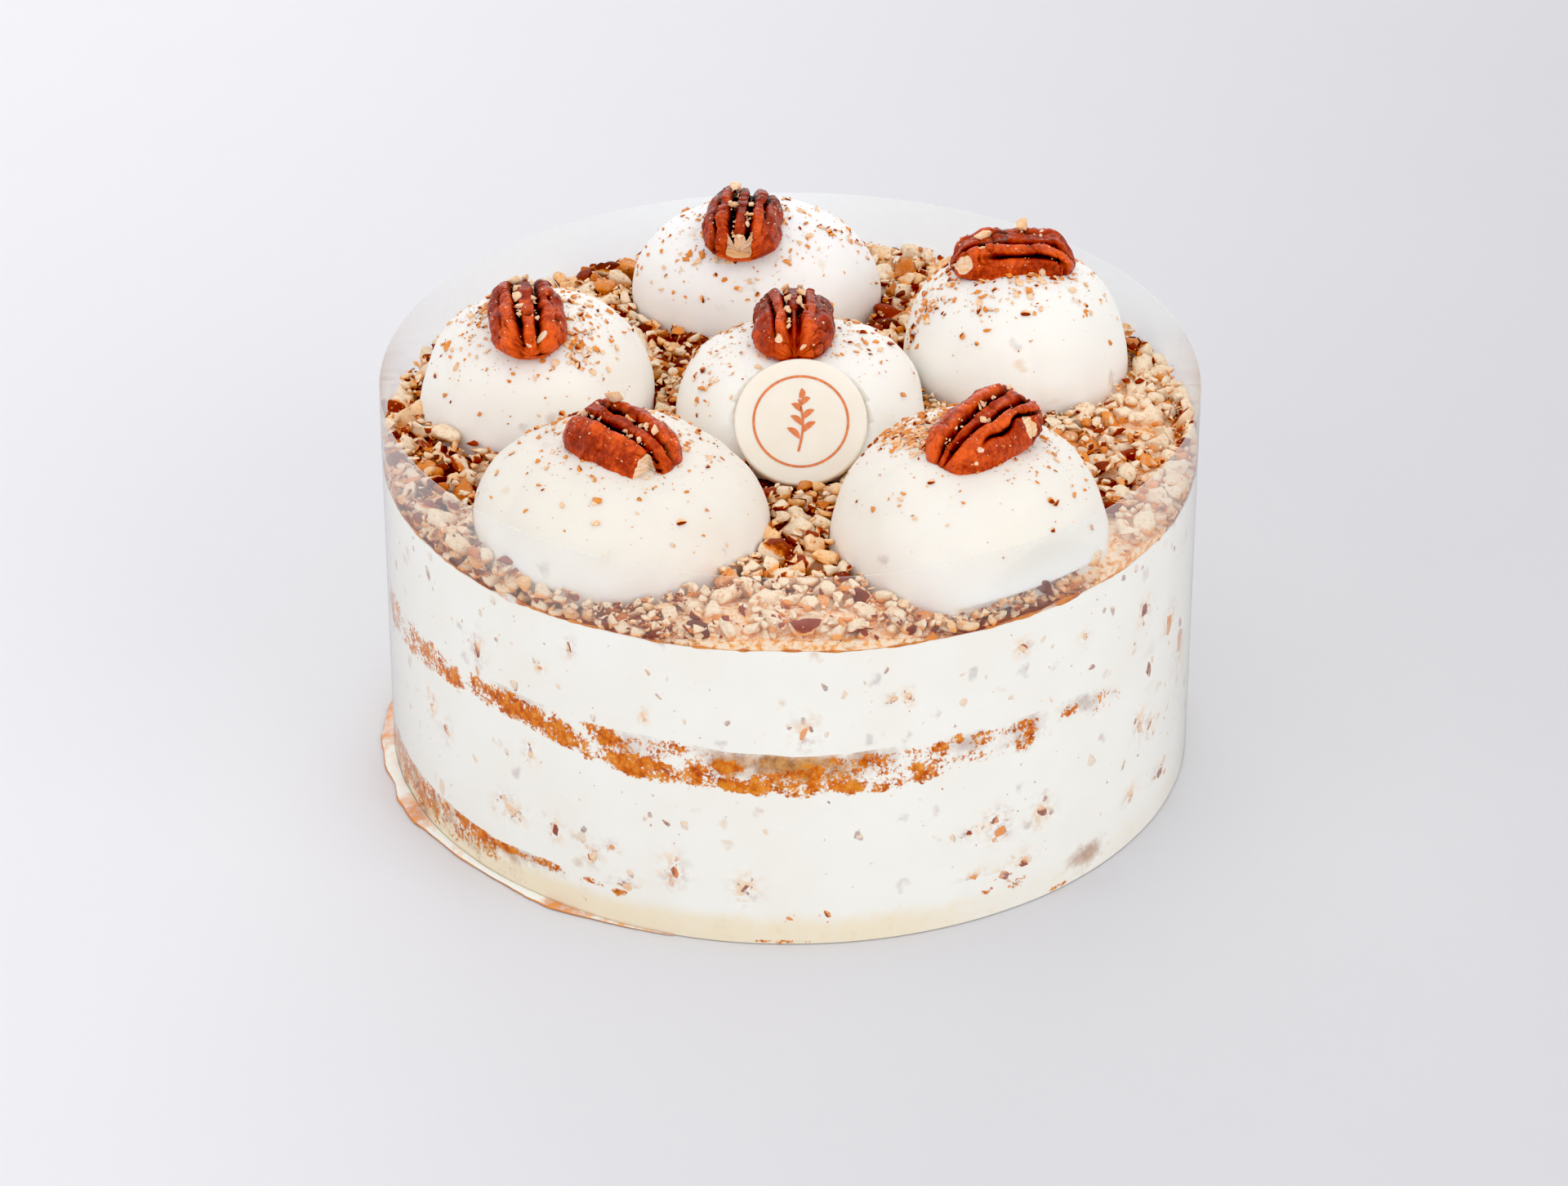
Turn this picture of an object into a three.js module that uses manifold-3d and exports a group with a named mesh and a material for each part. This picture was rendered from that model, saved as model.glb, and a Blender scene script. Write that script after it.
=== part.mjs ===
// A round layered ice cream cake: two sponge layers, two cream layers, chopped nuts,
// six scoops of ice cream each with a pecan half, a chocolate disc and a clear collar.
// Millimetres, +Z up. The origin is the centre of the underside, and the front faces -Y.

import * as THREE from 'three';
import { mergeVertices } from 'three/addons/utils/BufferGeometryUtils.js';
import Module from 'manifold-3d';

// Driving dimensions
const FIT_GAP = 0.3;
const COLLAR_RADIUS = 100;
const COLLAR_WALL = 0.4;
const COLLAR_HEIGHT = 100;
const SPONGE_BASE_TOP = 11.3;
const CREAM_LOWER_TOP = 41;
const SPONGE_MIDDLE_TOP = 53.5;
const CREAM_UPPER_TOP = 79.8;
const NUT_CORE_TOP = 81.5;

// The scoops: centre, half width along X, half depth along Y, and height
const DOMES = {
  front_left: { x: -40, y: -47.5, halfWidth: 35, halfDepth: 35, height: 25.5 },
  front_right: { x: 43, y: -52.5, halfWidth: 33.3, halfDepth: 36, height: 29.5 },
  left: { x: -62, y: 14.5, halfWidth: 29.5, halfDepth: 29.5, height: 29.5 },
  back: { x: -8.3, y: 69, halfWidth: 32.5, halfDepth: 24.5, height: 28.8 },
  right: { x: 56.2, y: 35, halfWidth: 28.5, halfDepth: 30.5, height: 31 },
  centre: { x: 2.5, y: 7.5, halfWidth: 30.8, halfDepth: 30, height: 24 },
};
const DOME_ROUNDNESS = 2.45;

// The pecan halves: offset from the scoop's centre, turn about Z, tilt towards the front, and size
const PECANS = {
  front_left: { dx: 0.7, dy: -2.5, turn: -42, tilt: 9, length: 30, width: 20.5, height: 11.5 },
  front_right: { dx: 2.3, dy: -0.5, turn: 47, tilt: 14, length: 32, width: 20.5, height: 12 },
  left: { dx: -1.9, dy: -9.5, turn: 94, tilt: 7, length: 29, width: 19, height: 11.5 },
  back: { dx: -3.7, dy: -9.5, turn: 86, tilt: 5, length: 28, width: 20.5, height: 11.5 },
  right: { dx: -1, dy: 1, turn: 3, tilt: 2, length: 31.5, width: 18, height: 11 },
  centre: { dx: -1.7, dy: 2, turn: 91, tilt: 1, length: 28.5, width: 20.3, height: 12 },
};
const PECAN_SINK = 2.4;
const PECAN_GROOVE_PLACE = 0.3;
const PECAN_GROOVE_DEPTH = 2.6;

// The disc leans back on the centre scoop
const DISC_RADIUS = 16.1;
const DISC_THICKNESS = 3;
const DISC_EDGE_ROUNDING = 0.6;
const DISC_FACE_CENTRE = new THREE.Vector3(2.6, -16.5, 95.5);
const DISC_LEAN_FROM_LEVEL = 44;
const DISC_CLEARANCE = 20;

// Chopped nuts fused on the core, the largest first
const NUT_COUNT = 200;
const NUT_LARGEST_RADIUS = 5.8;
const NUT_SMALLEST_RADIUS = 2.8;
const NUT_CROWDING = 0.7;
const NUT_SINK = 0.9;
const NUT_TRIES = 600;
const RANDOM_SEED = 11;

// Facets
const ROUND_SIDES = 72;
const DOME_SIDES = 34;
const DOME_RINGS = 7;
const DISC_SIDES = 40;
const PECAN_SECTIONS = 11;
const WELD_DISTANCE = 1e-4;

const COLLAR_INNER_RADIUS = COLLAR_RADIUS - COLLAR_WALL;
const CAKE_RADIUS = COLLAR_INNER_RADIUS - FIT_GAP;
const DOME_BASE_Z = NUT_CORE_TOP + FIT_GAP;

const MATERIALS = {
  sponge: new THREE.MeshStandardMaterial({ color: 0xb87a42, roughness: 0.95, metalness: 0 }),
  cream: new THREE.MeshStandardMaterial({ color: 0xf8f5ec, roughness: 0.55, metalness: 0 }),
  nuts: new THREE.MeshStandardMaterial({ color: 0xc99a68, roughness: 0.8, metalness: 0 }),
  pecan: new THREE.MeshStandardMaterial({ color: 0x7a3416, roughness: 0.5, metalness: 0 }),
  chocolate: new THREE.MeshStandardMaterial({ color: 0xf5efdf, roughness: 0.4, metalness: 0 }),
  film: new THREE.MeshStandardMaterial({
    color: 0xf2f4f8, roughness: 0.08, metalness: 0, transparent: true, opacity: 0.15,
  }),
};

const wasm = await Module();
wasm.setup();

function toSolid(geometry) {
  const shell = geometry.clone();
  shell.deleteAttribute('normal');
  shell.deleteAttribute('uv');
  const welded = mergeVertices(shell, WELD_DISTANCE);
  return new wasm.Manifold(new wasm.Mesh({
    numProp: 3,
    vertProperties: new Float32Array(welded.attributes.position.array),
    triVerts: new Uint32Array(welded.index.array),
  }));
}

function toGeometry(solid) {
  const mesh = solid.getMesh();
  const geometry = new THREE.BufferGeometry();
  geometry.setAttribute('position', new THREE.BufferAttribute(mesh.vertProperties, 3));
  geometry.setIndex(new THREE.BufferAttribute(mesh.triVerts, 1));
  geometry.computeVertexNormals();
  return geometry;
}

function namedMesh(name, geometry, material) {
  const mesh = new THREE.Mesh(geometry, material);
  mesh.name = name;
  return mesh;
}

// A profile of [radius, height] pairs turned about the Z axis
function turned(profile, sides) {
  const points = profile.map(([radius, height]) => new THREE.Vector2(radius, height));
  return new THREE.LatheGeometry(points, sides).rotateX(Math.PI / 2);
}

function roundSlab(radius, bottom, top) {
  return turned([[0, bottom], [radius, bottom], [radius, top], [0, top]], ROUND_SIDES);
}

// Half of a superellipsoid with a flat underside, grown outwards by a margin
function domeGeometry(dome, margin) {
  const profile = [[0, 0]];
  for (let ring = 0; ring <= DOME_RINGS; ring += 1) {
    const angle = (ring / DOME_RINGS) * (Math.PI / 2);
    const radius = ring === DOME_RINGS ? 0 : Math.cos(angle) ** (2 / DOME_ROUNDNESS);
    profile.push([radius, Math.sin(angle) ** (2 / DOME_ROUNDNESS)]);
  }
  return turned(profile, DOME_SIDES)
    .scale(dome.halfWidth + margin, dome.halfDepth + margin, dome.height + margin)
    .translate(dome.x, dome.y, DOME_BASE_Z);
}

// How high a scoop stands above its base at an offset from its centre
function domeRise(dome, dx, dy) {
  const reach = Math.hypot(dx / dome.halfWidth, dy / dome.halfDepth);
  return dome.height * (1 - reach ** DOME_ROUNDNESS) ** (1 / DOME_ROUNDNESS);
}

// One half kernel along X: a domed back with two lengthwise grooves and a flatter underside
function pecanGeometry(pecan) {
  const groove = PECAN_GROOVE_PLACE;
  const flank = [0.18, 0.26, 0.42, 0.66, 0.88];
  const across = [...flank.slice().reverse(), 0, ...flank.map((place) => -place)];
  const positions = [];
  for (let section = 1; section < PECAN_SECTIONS; section += 1) {
    const along = -Math.cos((section / PECAN_SECTIONS) * Math.PI);
    const fullness = (1 - Math.abs(along) ** 2.4) ** (1 / 2.4);
    const halfWidth = (pecan.width / 2) * fullness;
    const rise = pecan.height * 0.75 * fullness ** 0.8;
    const drop = pecan.height * 0.25 * fullness;
    const grooveHere = groove * (1 - 0.25 * along);
    const ring = [[halfWidth, 0]];
    for (const place of across) {
      const nearness = Math.max(0, 1 - Math.abs(Math.abs(place) - grooveHere) / 0.1);
      const cut = PECAN_GROOVE_DEPTH * nearness * fullness;
      ring.push([halfWidth * place, rise * Math.sqrt(1 - place ** 2) - cut]);
    }
    ring.push([-halfWidth, 0], [-halfWidth * 0.6, -drop], [halfWidth * 0.6, -drop]);
    for (const [y, z] of ring) {
      positions.push((pecan.length / 2) * along, y, z);
    }
  }
  const ringSize = across.length + 4;
  const ringCount = PECAN_SECTIONS - 1;
  const tailTip = positions.length / 3;
  const noseTip = tailTip + 1;
  positions.push(-pecan.length / 2, 0, 0, pecan.length / 2, 0, 0);
  const index = [];
  for (let step = 0; step < ringSize; step += 1) {
    const next = (step + 1) % ringSize;
    for (let ring = 0; ring + 1 < ringCount; ring += 1) {
      const low = ring * ringSize;
      const high = low + ringSize;
      index.push(low + step, high + next, high + step, low + step, low + next, high + next);
    }
    const last = (ringCount - 1) * ringSize;
    index.push(tailTip, next, step, noseTip, last + step, last + next);
  }
  const geometry = new THREE.BufferGeometry();
  geometry.setAttribute('position', new THREE.Float32BufferAttribute(positions, 3));
  geometry.setIndex(index);
  return geometry;
}

// The kernel is set on its scoop and trimmed from below to sit in it
function seatedPecan(dome, pecan) {
  const radians = THREE.MathUtils.degToRad;
  const turn = new THREE.Matrix4().makeRotationZ(radians(pecan.turn));
  const tilt = new THREE.Matrix4().makeRotationX(radians(pecan.tilt));
  const lift = DOME_BASE_Z + domeRise(dome, pecan.dx, pecan.dy) + pecan.height * 0.25 - PECAN_SINK;
  const place = new THREE.Matrix4()
    .makeTranslation(dome.x + pecan.dx, dome.y + pecan.dy, lift)
    .multiply(tilt)
    .multiply(turn);
  const kernel = toSolid(pecanGeometry(pecan).applyMatrix4(place));
  return kernel.subtract(toSolid(domeGeometry(dome, FIT_GAP)));
}

function discGeometry(margin, clearance) {
  const radius = DISC_RADIUS + margin;
  const back = -DISC_THICKNESS - margin;
  const front = clearance;
  const rounding = DISC_EDGE_ROUNDING;
  const profile = [
    [0, back],
    [radius - rounding, back],
    [radius, back + rounding],
    [radius, front - rounding],
    [radius - rounding, front],
    [0, front],
  ];
  const lean = THREE.MathUtils.degToRad(DISC_LEAN_FROM_LEVEL);
  return turned(profile, DISC_SIDES)
    .rotateX(lean)
    .translate(DISC_FACE_CENTRE.x, DISC_FACE_CENTRE.y, DISC_FACE_CENTRE.z);
}

function seededRandom(seed) {
  let state = seed;
  return () => {
    state = (state * 1664525 + 1013904223) % 4294967296;
    return state / 4294967296;
  };
}

// A chopped bit: a block with its corners pulled in at random
function nutGeometry(radius, random) {
  const block = new THREE.BoxGeometry(2, 2, 2).deleteAttribute('normal').deleteAttribute('uv');
  const geometry = mergeVertices(block, WELD_DISTANCE);
  const position = geometry.attributes.position;
  const corner = new THREE.Vector3();
  for (let count = 0; count < position.count; count += 1) {
    corner.fromBufferAttribute(position, count).setLength(0.7 + 0.3 * random());
    position.setXYZ(count, corner.x, corner.y, corner.z);
  }
  const breadth = radius * (0.75 + 0.25 * random());
  const thickness = radius * (0.65 + 0.2 * random());
  return geometry
    .scale(radius * 1.15, breadth, thickness)
    .rotateX(random() * Math.PI)
    .rotateZ(random() * Math.PI * 2);
}

function clearOfToppings(x, y, radius) {
  for (const dome of Object.values(DOMES)) {
    const margin = radius + FIT_GAP * 2;
    const reach = Math.hypot(
      (x - dome.x) / (dome.halfWidth + margin),
      (y - dome.y) / (dome.halfDepth + margin),
    );
    if (reach < 1) {
      return false;
    }
  }
  const besideDisc = Math.abs(x - DISC_FACE_CENTRE.x) < DISC_RADIUS + radius;
  const underDisc = Math.abs(y - DISC_FACE_CENTRE.y) < DISC_RADIUS * 0.8 + radius;
  return !(besideDisc && underDisc);
}

function nutSolid() {
  const random = seededRandom(RANDOM_SEED);
  const placed = [];
  let heap = toSolid(roundSlab(CAKE_RADIUS, CREAM_UPPER_TOP + FIT_GAP, NUT_CORE_TOP));
  for (let count = 0; count < NUT_COUNT; count += 1) {
    const share = Math.sqrt(count / NUT_COUNT);
    const radius = THREE.MathUtils.lerp(NUT_LARGEST_RADIUS, NUT_SMALLEST_RADIUS, share);
    for (let attempt = 0; attempt < NUT_TRIES; attempt += 1) {
      const angle = random() * Math.PI * 2;
      const distance = Math.sqrt(random()) * (CAKE_RADIUS - radius);
      const x = distance * Math.cos(angle);
      const y = distance * Math.sin(angle);
      const apart = placed.every((other) => (
        Math.hypot(x - other.x, y - other.y) > NUT_CROWDING * (radius + other.radius)
      ));
      if (apart && clearOfToppings(x, y, radius)) {
        const bit = nutGeometry(radius, random);
        bit.computeBoundingBox();
        bit.translate(x, y, NUT_CORE_TOP - NUT_SINK - bit.boundingBox.min.z);
        heap = heap.add(toSolid(bit));
        placed.push({ x, y, radius });
        break;
      }
    }
  }
  return heap;
}

const cake = new THREE.Group();

cake.add(namedMesh('sponge_base', roundSlab(CAKE_RADIUS, 0, SPONGE_BASE_TOP), MATERIALS.sponge));
cake.add(namedMesh(
  'cream_lower',
  roundSlab(CAKE_RADIUS, SPONGE_BASE_TOP + FIT_GAP, CREAM_LOWER_TOP),
  MATERIALS.cream,
));
cake.add(namedMesh(
  'sponge_middle',
  roundSlab(CAKE_RADIUS, CREAM_LOWER_TOP + FIT_GAP, SPONGE_MIDDLE_TOP),
  MATERIALS.sponge,
));
cake.add(namedMesh(
  'cream_upper',
  roundSlab(CAKE_RADIUS, SPONGE_MIDDLE_TOP + FIT_GAP, CREAM_UPPER_TOP),
  MATERIALS.cream,
));
cake.add(namedMesh('nut_topping', toGeometry(nutSolid()), MATERIALS.nuts));

// The disc presses a seat into what is behind it, and the collar holds the scoops in
const discSeat = toSolid(discGeometry(FIT_GAP, DISC_CLEARANCE));
const insideCollar = toSolid(roundSlab(CAKE_RADIUS, CREAM_UPPER_TOP, COLLAR_HEIGHT * 2));
for (const [place, dome] of Object.entries(DOMES)) {
  const scoop = toSolid(domeGeometry(dome, 0)).intersect(insideCollar).subtract(discSeat);
  cake.add(namedMesh(`dome_${place}`, toGeometry(scoop), MATERIALS.cream));
  const kernel = seatedPecan(dome, PECANS[place]).subtract(discSeat);
  cake.add(namedMesh(`pecan_${place}`, toGeometry(kernel), MATERIALS.pecan));
}

cake.add(namedMesh('chocolate_disc', discGeometry(0, 0), MATERIALS.chocolate));

cake.add(namedMesh('collar', turned([
  [COLLAR_INNER_RADIUS, 0],
  [COLLAR_RADIUS, 0],
  [COLLAR_RADIUS, COLLAR_HEIGHT],
  [COLLAR_INNER_RADIUS, COLLAR_HEIGHT],
  [COLLAR_INNER_RADIUS, 0],
], ROUND_SIDES), MATERIALS.film));

export default cake;
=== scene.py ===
"""Looks of a round layered ice cream cake with scoops, pecan halves, chopped nuts and a clear collar.

Metres, +Z up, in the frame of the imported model. The front faces -Y. Angles round the side are in
degrees from the front, counted up to the right. Lengths in tables are in millimetres.
"""

import itertools
import math
from collections import namedtuple

import bmesh
import bpy
import numpy as np
from mathutils import Euler, Matrix, Vector


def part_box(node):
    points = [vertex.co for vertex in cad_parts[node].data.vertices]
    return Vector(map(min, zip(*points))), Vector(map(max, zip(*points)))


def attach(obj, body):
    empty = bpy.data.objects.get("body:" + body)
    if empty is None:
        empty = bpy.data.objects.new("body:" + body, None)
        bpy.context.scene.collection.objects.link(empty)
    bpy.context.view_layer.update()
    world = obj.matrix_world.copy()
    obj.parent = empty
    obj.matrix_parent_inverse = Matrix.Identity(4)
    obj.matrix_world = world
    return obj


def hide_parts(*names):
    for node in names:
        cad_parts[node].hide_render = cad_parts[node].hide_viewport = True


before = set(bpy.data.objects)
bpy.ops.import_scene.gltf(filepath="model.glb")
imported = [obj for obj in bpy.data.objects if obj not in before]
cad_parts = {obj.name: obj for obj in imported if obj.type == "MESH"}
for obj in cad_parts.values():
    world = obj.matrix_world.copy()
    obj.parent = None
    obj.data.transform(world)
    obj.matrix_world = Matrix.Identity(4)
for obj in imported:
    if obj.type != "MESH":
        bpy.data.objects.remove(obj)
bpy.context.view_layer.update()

MM = 0.001
TINY = 1e-9

# Camera
CAMERA_PLACE = (0.0, -1148.2 * MM, 707.5 * MM)
CAMERA_TURN_DEG = (59.754, 0.0, 0.074)
CAMERA_LENS_MM = 122.46
CAMERA_SENSOR_MM = 36.0
CAMERA_CLIP_END = 20

# Scoops
PLACES = ("front_left", "front_right", "left", "back", "right", "centre")
SEED_STEP = 10
DOME_ROUNDNESS = 2.45
# Painted light: how much paler each scoop is painted, most on those further back, to offset the shade that
# falls on them
SCOOP_PAINTED_LIGHT = {
    "front_left": 0.05, "front_right": 0.2, "left": 0.5, "back": 1.0, "right": 0.65, "centre": 0.55,
}
SCOOP_EDGE = 99.3 * MM
SCOOP_FOOT_EDGE = 96 * MM
SCOOP_FOOT_RISE = (2.5 * MM, 5.5 * MM)
SCOOP_PLAN_LIMIT = 0.97
SCOOP_SEED = 100
# Lumps: height and size, and the creases between them: depth, size, sharpness
SCOOP_LUMPS = ((1.25, 19), (0.30, 7), (0.06, 2))
SCOOP_CREASE = (0.55, 24, 7)

# Pecan halves: turn and tilt in degrees, length, width, sinking, the grooves' distance from the crest at both
# ends, how strong the outer furrow is on both sides, and painted light: how much lighter the skin is painted
# at the back and at the front
Pecan = namedtuple("Pecan", "turn tilt length width sink grooves furrows glow")
PECANS = {
    "front_left": Pecan(-42, 9, 30, 20.2, 0.8, (2.8, 2.6), (0.0, 0.2), (0.40, 0.70)),
    "front_right": Pecan(47, 14, 32, 20.2, 0.5, (1.5, 2.9), (1.0, 0.15), (0.50, 0.78)),
    "left": Pecan(97, 7, 28, 18.6, 0.5, (2.6, 2.6), (0.35, 0.6), (0.0, 0.82)),
    "back": Pecan(86, 5, 27.4, 20.2, 0.3, (2.5, 2.3), (0.9, 1.0), (0.0, 0.58)),
    "right": Pecan(3, 2, 31.5, 17.6, 1.6, (2.5, 2.8), (1.0, 0.3), (0.45, 0.66)),
    "centre": Pecan(91, 1, 28.5, 20, 0.3, (0.9, 2.9), (0.5, 0.9), (0.0, 0.62)),
}
PECAN_RISE = 8.6 * MM
PECAN_BELLY = 3.0 * MM
PECAN_GIRTH = 13 * MM
PECAN_SQUARENESS = 0.85
PECAN_SEED = 300
# Relief of the kernels in millimetres
GROOVE_DEPTH = 4.0
FURROW_DEPTH = 1.8
CREST_RISE = 0.2
MIDDLE_DIP = 0.7
END_DIP = 1.2
CREASE_DEPTH = 0.7
BARE_DEPTH = 0.35
LUMP_RISE = 0.55
WRINKLE_RISE = 0.26
# Spots where the skin is off: place along from -1 to 1, degrees round, reach along, reach round
PECAN_BARE = {
    "front_left": ((-0.93, 10, 0.05, 9),),
    "front_right": (
        (0.42, -62, 0.10, 20), (0.86, -44, 0.06, 13), (-0.55, -42, 0.05, 5), (-0.7, -60, 0.03, 6),
    ),
    "left": ((-0.84, -30, 0.07, 7), (-0.95, 4, 0.02, 9)),
    "back": ((-0.90, 0, 0.12, 13),),
    "right": ((-0.84, -60, 0.15, 22), (0.26, -84, 0.09, 6), (0.42, -82, 0.05, 8), (-0.52, -24, 0.06, 7)),
    "centre": ((-0.84, 34, 0.06, 11), (-0.95, -30, 0.02, 7)),
}
# Broken ends: end, sign of the side or 0 for the middle, place along
PECAN_CUT = {"front_left": (1, -1, 0.74), "back": (-1, 0, 0.78)}

# Disc
DISC_LEAN_DEG = 44
DISC_THICKNESS = 3 * MM
DISC_ROUNDING = 0.7 * MM
DISC_FREE_HALF = 7.4 * MM
DISC_SEAT_DEPTH = 0.9 * DISC_THICKNESS
DISC_SEAT_MARGIN = 0.5 * MM
PRINT_THICKNESS = 0.06 * MM
PRINT_RING_RADIUS = 11.4 * MM
PRINT_LINE = 0.62 * MM
PRINT_LEAF = 1.5 * MM

# Side of the cake
CAKE_RADIUS = 99.55 * MM
LAYER_WAVE = 0.7 * MM
LAYER_LIP = 0.6 * MM
LAYER_UNEVEN = 0.1 * MM

# Film
FILM_INNER_RADIUS = 99.7 * MM
FILM_THICKNESS = 0.15 * MM
FILM_GLOW = 0.65
FILM_MIRROR_POWER = 5.5
FILM_MIRROR_RISE = 0.65
FILM_MIRROR_LEAST = 0.012
# Haze on the cream, and what is added where the film stands free, at the front and at the back as painted
# reflection, and at its edge
HAZE_LEAST = 0.008
HAZE_STANDING = 0.045
HAZE_FRONT_REFLECTION = 0.10
HAZE_BACK_REFLECTION = 0.34
HAZE_EDGE = 0.2

# Heap of chopped nuts
HEAP_CELL = 0.5 * MM
HEAP_CELLS = 440
HEAP_ORIGIN = -0.5 * HEAP_CELL * HEAP_CELLS
HEAP_EDGE = 99.5 * MM
HEAP_RIM_MM = 95
HEAP_CORE = 1.2 * MM
HEAP_LEAST = 0.15 * MM
HEAP_SLOPE = (91 * MM, 98 * MM)
HEAP_TOP = 88 * MM
HEAP_HOLLOW_DEPTH = 4.6 * MM
HEAP_PROUD = 1.5 * MM
HEAP_CREAM = 3.6 * MM
HEAP_SUNK = 3.2 * MM

# Colours, linear
CREAM_LIGHT = (0.965, 0.955, 0.895)
CREAM_DARK = (0.945, 0.92, 0.845)
SCOOP_LIGHT = (0.86, 0.82, 0.74)
SCOOP_DARK = (0.835, 0.785, 0.69)
# Paler cream for the painted light on the scoops
SCOOP_PAINTED_LIGHT_COLOUR = (0.985, 0.965, 0.92)
FOOT_STAIN = (0.94, 0.83, 0.62)
SPOT_GREY = (0.56, 0.50, 0.49)
SPOT_BROWN = (0.60, 0.43, 0.38)
SPOT_AMBER = (0.78, 0.58, 0.36)
SIDE_STAIN_COOL = (0.60, 0.46, 0.42)
SIDE_STAIN_WARM = (0.88, 0.52, 0.20)
THIN_CREAM = (0.62, 0.51, 0.46)
CARAMEL_LIGHT = (0.72, 0.37, 0.12)
CARAMEL_DARK = (0.34, 0.13, 0.025)
SPONGE_LIGHT = (0.90, 0.40, 0.06)
SPONGE_MIDDLE = (0.72, 0.17, 0.004)
SPONGE_DARK = (0.42, 0.056, 0.001)
SPONGE_GOLD = (0.74, 0.31, 0.012)
NUT_FLESH_LIGHT = (1.0, 0.84, 0.62)
NUT_FLESH_DARK = (1.0, 0.56, 0.22)
NUT_GLAZE_LIGHT = (0.92, 0.33, 0.06)
NUT_GLAZE_DARK = (0.52, 0.10, 0.006)
NUT_STAIN = (0.80, 0.24, 0.03)
# Painted warm shade on the lower side of the nut bits
NUT_SHADE_BELOW = (1.0, 0.43, 0.10)
NUT_SKIN_LIGHT = (0.36, 0.040, 0.008)
NUT_SKIN_DARK = (0.06, 0.004, 0.001)
AMBER_LIGHT = (0.84, 0.30, 0.03)
AMBER_DARK = (0.52, 0.10, 0.006)
# Painted shade: near black red-brown where the bed shows between the nuts
HEAP_GAP_SHADE = (0.17, 0.022, 0.004)
HEAP_BED_PALE = (1.0, 0.80, 0.60)
PECAN_LIGHT = (0.40, 0.030, 0.006)
PECAN_DARK = (0.085, 0.006, 0.003)
PECAN_TIP = (0.88, 0.125, 0.020)
# Painted shade, near black, in the furrows and creases of the kernels
PECAN_FURROW_SHADE = (0.010, 0.001, 0.0005)
PECAN_FLESH = (0.97, 0.78, 0.62)
NUT_SHINE = (1.0, 0.62, 0.45, 1.0)
CHOCOLATE_LIGHT = (0.93, 0.87, 0.77)
CHOCOLATE_DARK = (0.90, 0.83, 0.71)
PRINT_COLOUR = (0.66, 0.19, 0.06)
PRINT_PALE = tuple(1.35 * value for value in PRINT_COLOUR)
FILM_TINT = (0.95, 0.975, 0.98, 1.0)
FLOOR_COLOUR = (0.83, 0.83, 0.855)
# Painted shade on the floor, towards the right
FLOOR_PAINTED_SHADE = tuple(0.70 * value for value in FLOOR_COLOUR)
SKY_COLOUR = (0.985, 0.98, 1.0, 1.0)


# Numbers

# Large numbers that scramble the numbers of a cell
CELL_FACTORS = (73856093, 19349663, 83492791)
SEED_FACTOR = 40503
SCRAMBLE_FACTOR = 1274126177
HALF_RANGE = 32767.5


def lattice(cells, seed):
    """A repeatable value from -1 to 1 for each whole-number cell."""
    x, y, z = (cells[..., axis] * factor for axis, factor in enumerate(CELL_FACTORS))
    mixed = x ^ y ^ z ^ (seed * SEED_FACTOR)
    mixed = ((mixed ^ (mixed >> 13)) * SCRAMBLE_FACTOR) & 0xFFFFFFFF
    return ((mixed ^ (mixed >> 16)) & 0xFFFF) / HALF_RANGE - 1.0


def smooth_noise(points, size, seed):
    """Smooth noise from -1 to 1 with features of the given size."""
    cell = np.asarray(points, float) / size
    base = np.floor(cell).astype(np.int64)
    part = cell - base
    part = part * part * (3 - 2 * part)
    total = np.zeros(len(cell))
    for corner in itertools.product((0, 1), repeat=3):
        weight = np.prod(np.where(corner, part, 1 - part), axis=1)
        total += weight * lattice(base + np.array(corner), seed)
    return total


def columns(*parts):
    return np.stack(parts, axis=1)


def unit(vectors):
    return vectors / np.maximum(np.linalg.norm(vectors, axis=-1, keepdims=True), 1e-12)


def step_up(values, low, high):
    """0 below low and 1 above high, with a smooth rise between."""
    share = np.clip((values - low) / (high - low), 0, 1)
    return share * share * (3 - 2 * share)


def hill(values, centre, width):
    return np.exp(-(((values - centre) / width) ** 2))


def swell(degrees, swells):
    """Sum of hills given as degrees, reach and rise."""
    return sum(rise * MM * hill(degrees, centre, reach) for centre, reach, rise in swells)


def full_turn(count):
    return np.linspace(0, 2 * np.pi, count, endpoint=False)


def turns_about_normals(normals, spins):
    """Rotations that stand local Z on each normal, spun about it."""
    helper = np.where(np.abs(normals[:, 2:3]) < 0.9, [[0.0, 0.0, 1.0]], [[1.0, 0.0, 0.0]])
    first = unit(np.cross(helper, normals))
    second = np.cross(normals, first)
    cosine, sine = np.cos(spins)[:, None], np.sin(spins)[:, None]
    across = first * cosine + second * sine
    along = second * cosine - first * sine
    return np.stack([across, along, normals], axis=2)


def round_the_side(degrees, radius, height):
    """Points at angles from the front."""
    angle = np.radians(degrees)
    return np.stack([radius * np.sin(angle), -radius * np.cos(angle), height + 0 * angle], axis=-1)


def keep_inside(points, radius):
    """Draws points in to a radius, which may differ from point to point."""
    reach = np.maximum(np.hypot(points[:, 0], points[:, 1]), TINY)
    points[:, :2] *= np.minimum(1, radius / reach)[:, None]


# Meshes

def add_piece(name, shape, material, node_names=(), values=None, crease_deg=None):
    """Makes a smooth mesh piece that rides on the cake, with named per-vertex values for its material."""
    vertices, faces = shape
    mesh = bpy.data.meshes.new(name)
    mesh.from_pydata(np.asarray(vertices).tolist(), [], faces)
    mesh.polygons.foreach_set("use_smooth", [True] * len(mesh.polygons))
    if crease_deg:
        mesh.set_sharp_from_angle(angle=math.radians(crease_deg))
    for key, numbers in (values or {}).items():
        layer = mesh.attributes.new(key, "FLOAT", "POINT")
        layer.data.foreach_set("value", np.asarray(numbers, np.float32))
    mesh.update()
    mesh.materials.append(material)
    piece = bpy.data.objects.new(name, mesh)
    bpy.context.scene.collection.objects.link(piece)
    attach(piece, "root")
    if node_names:
        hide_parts(*node_names)


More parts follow.
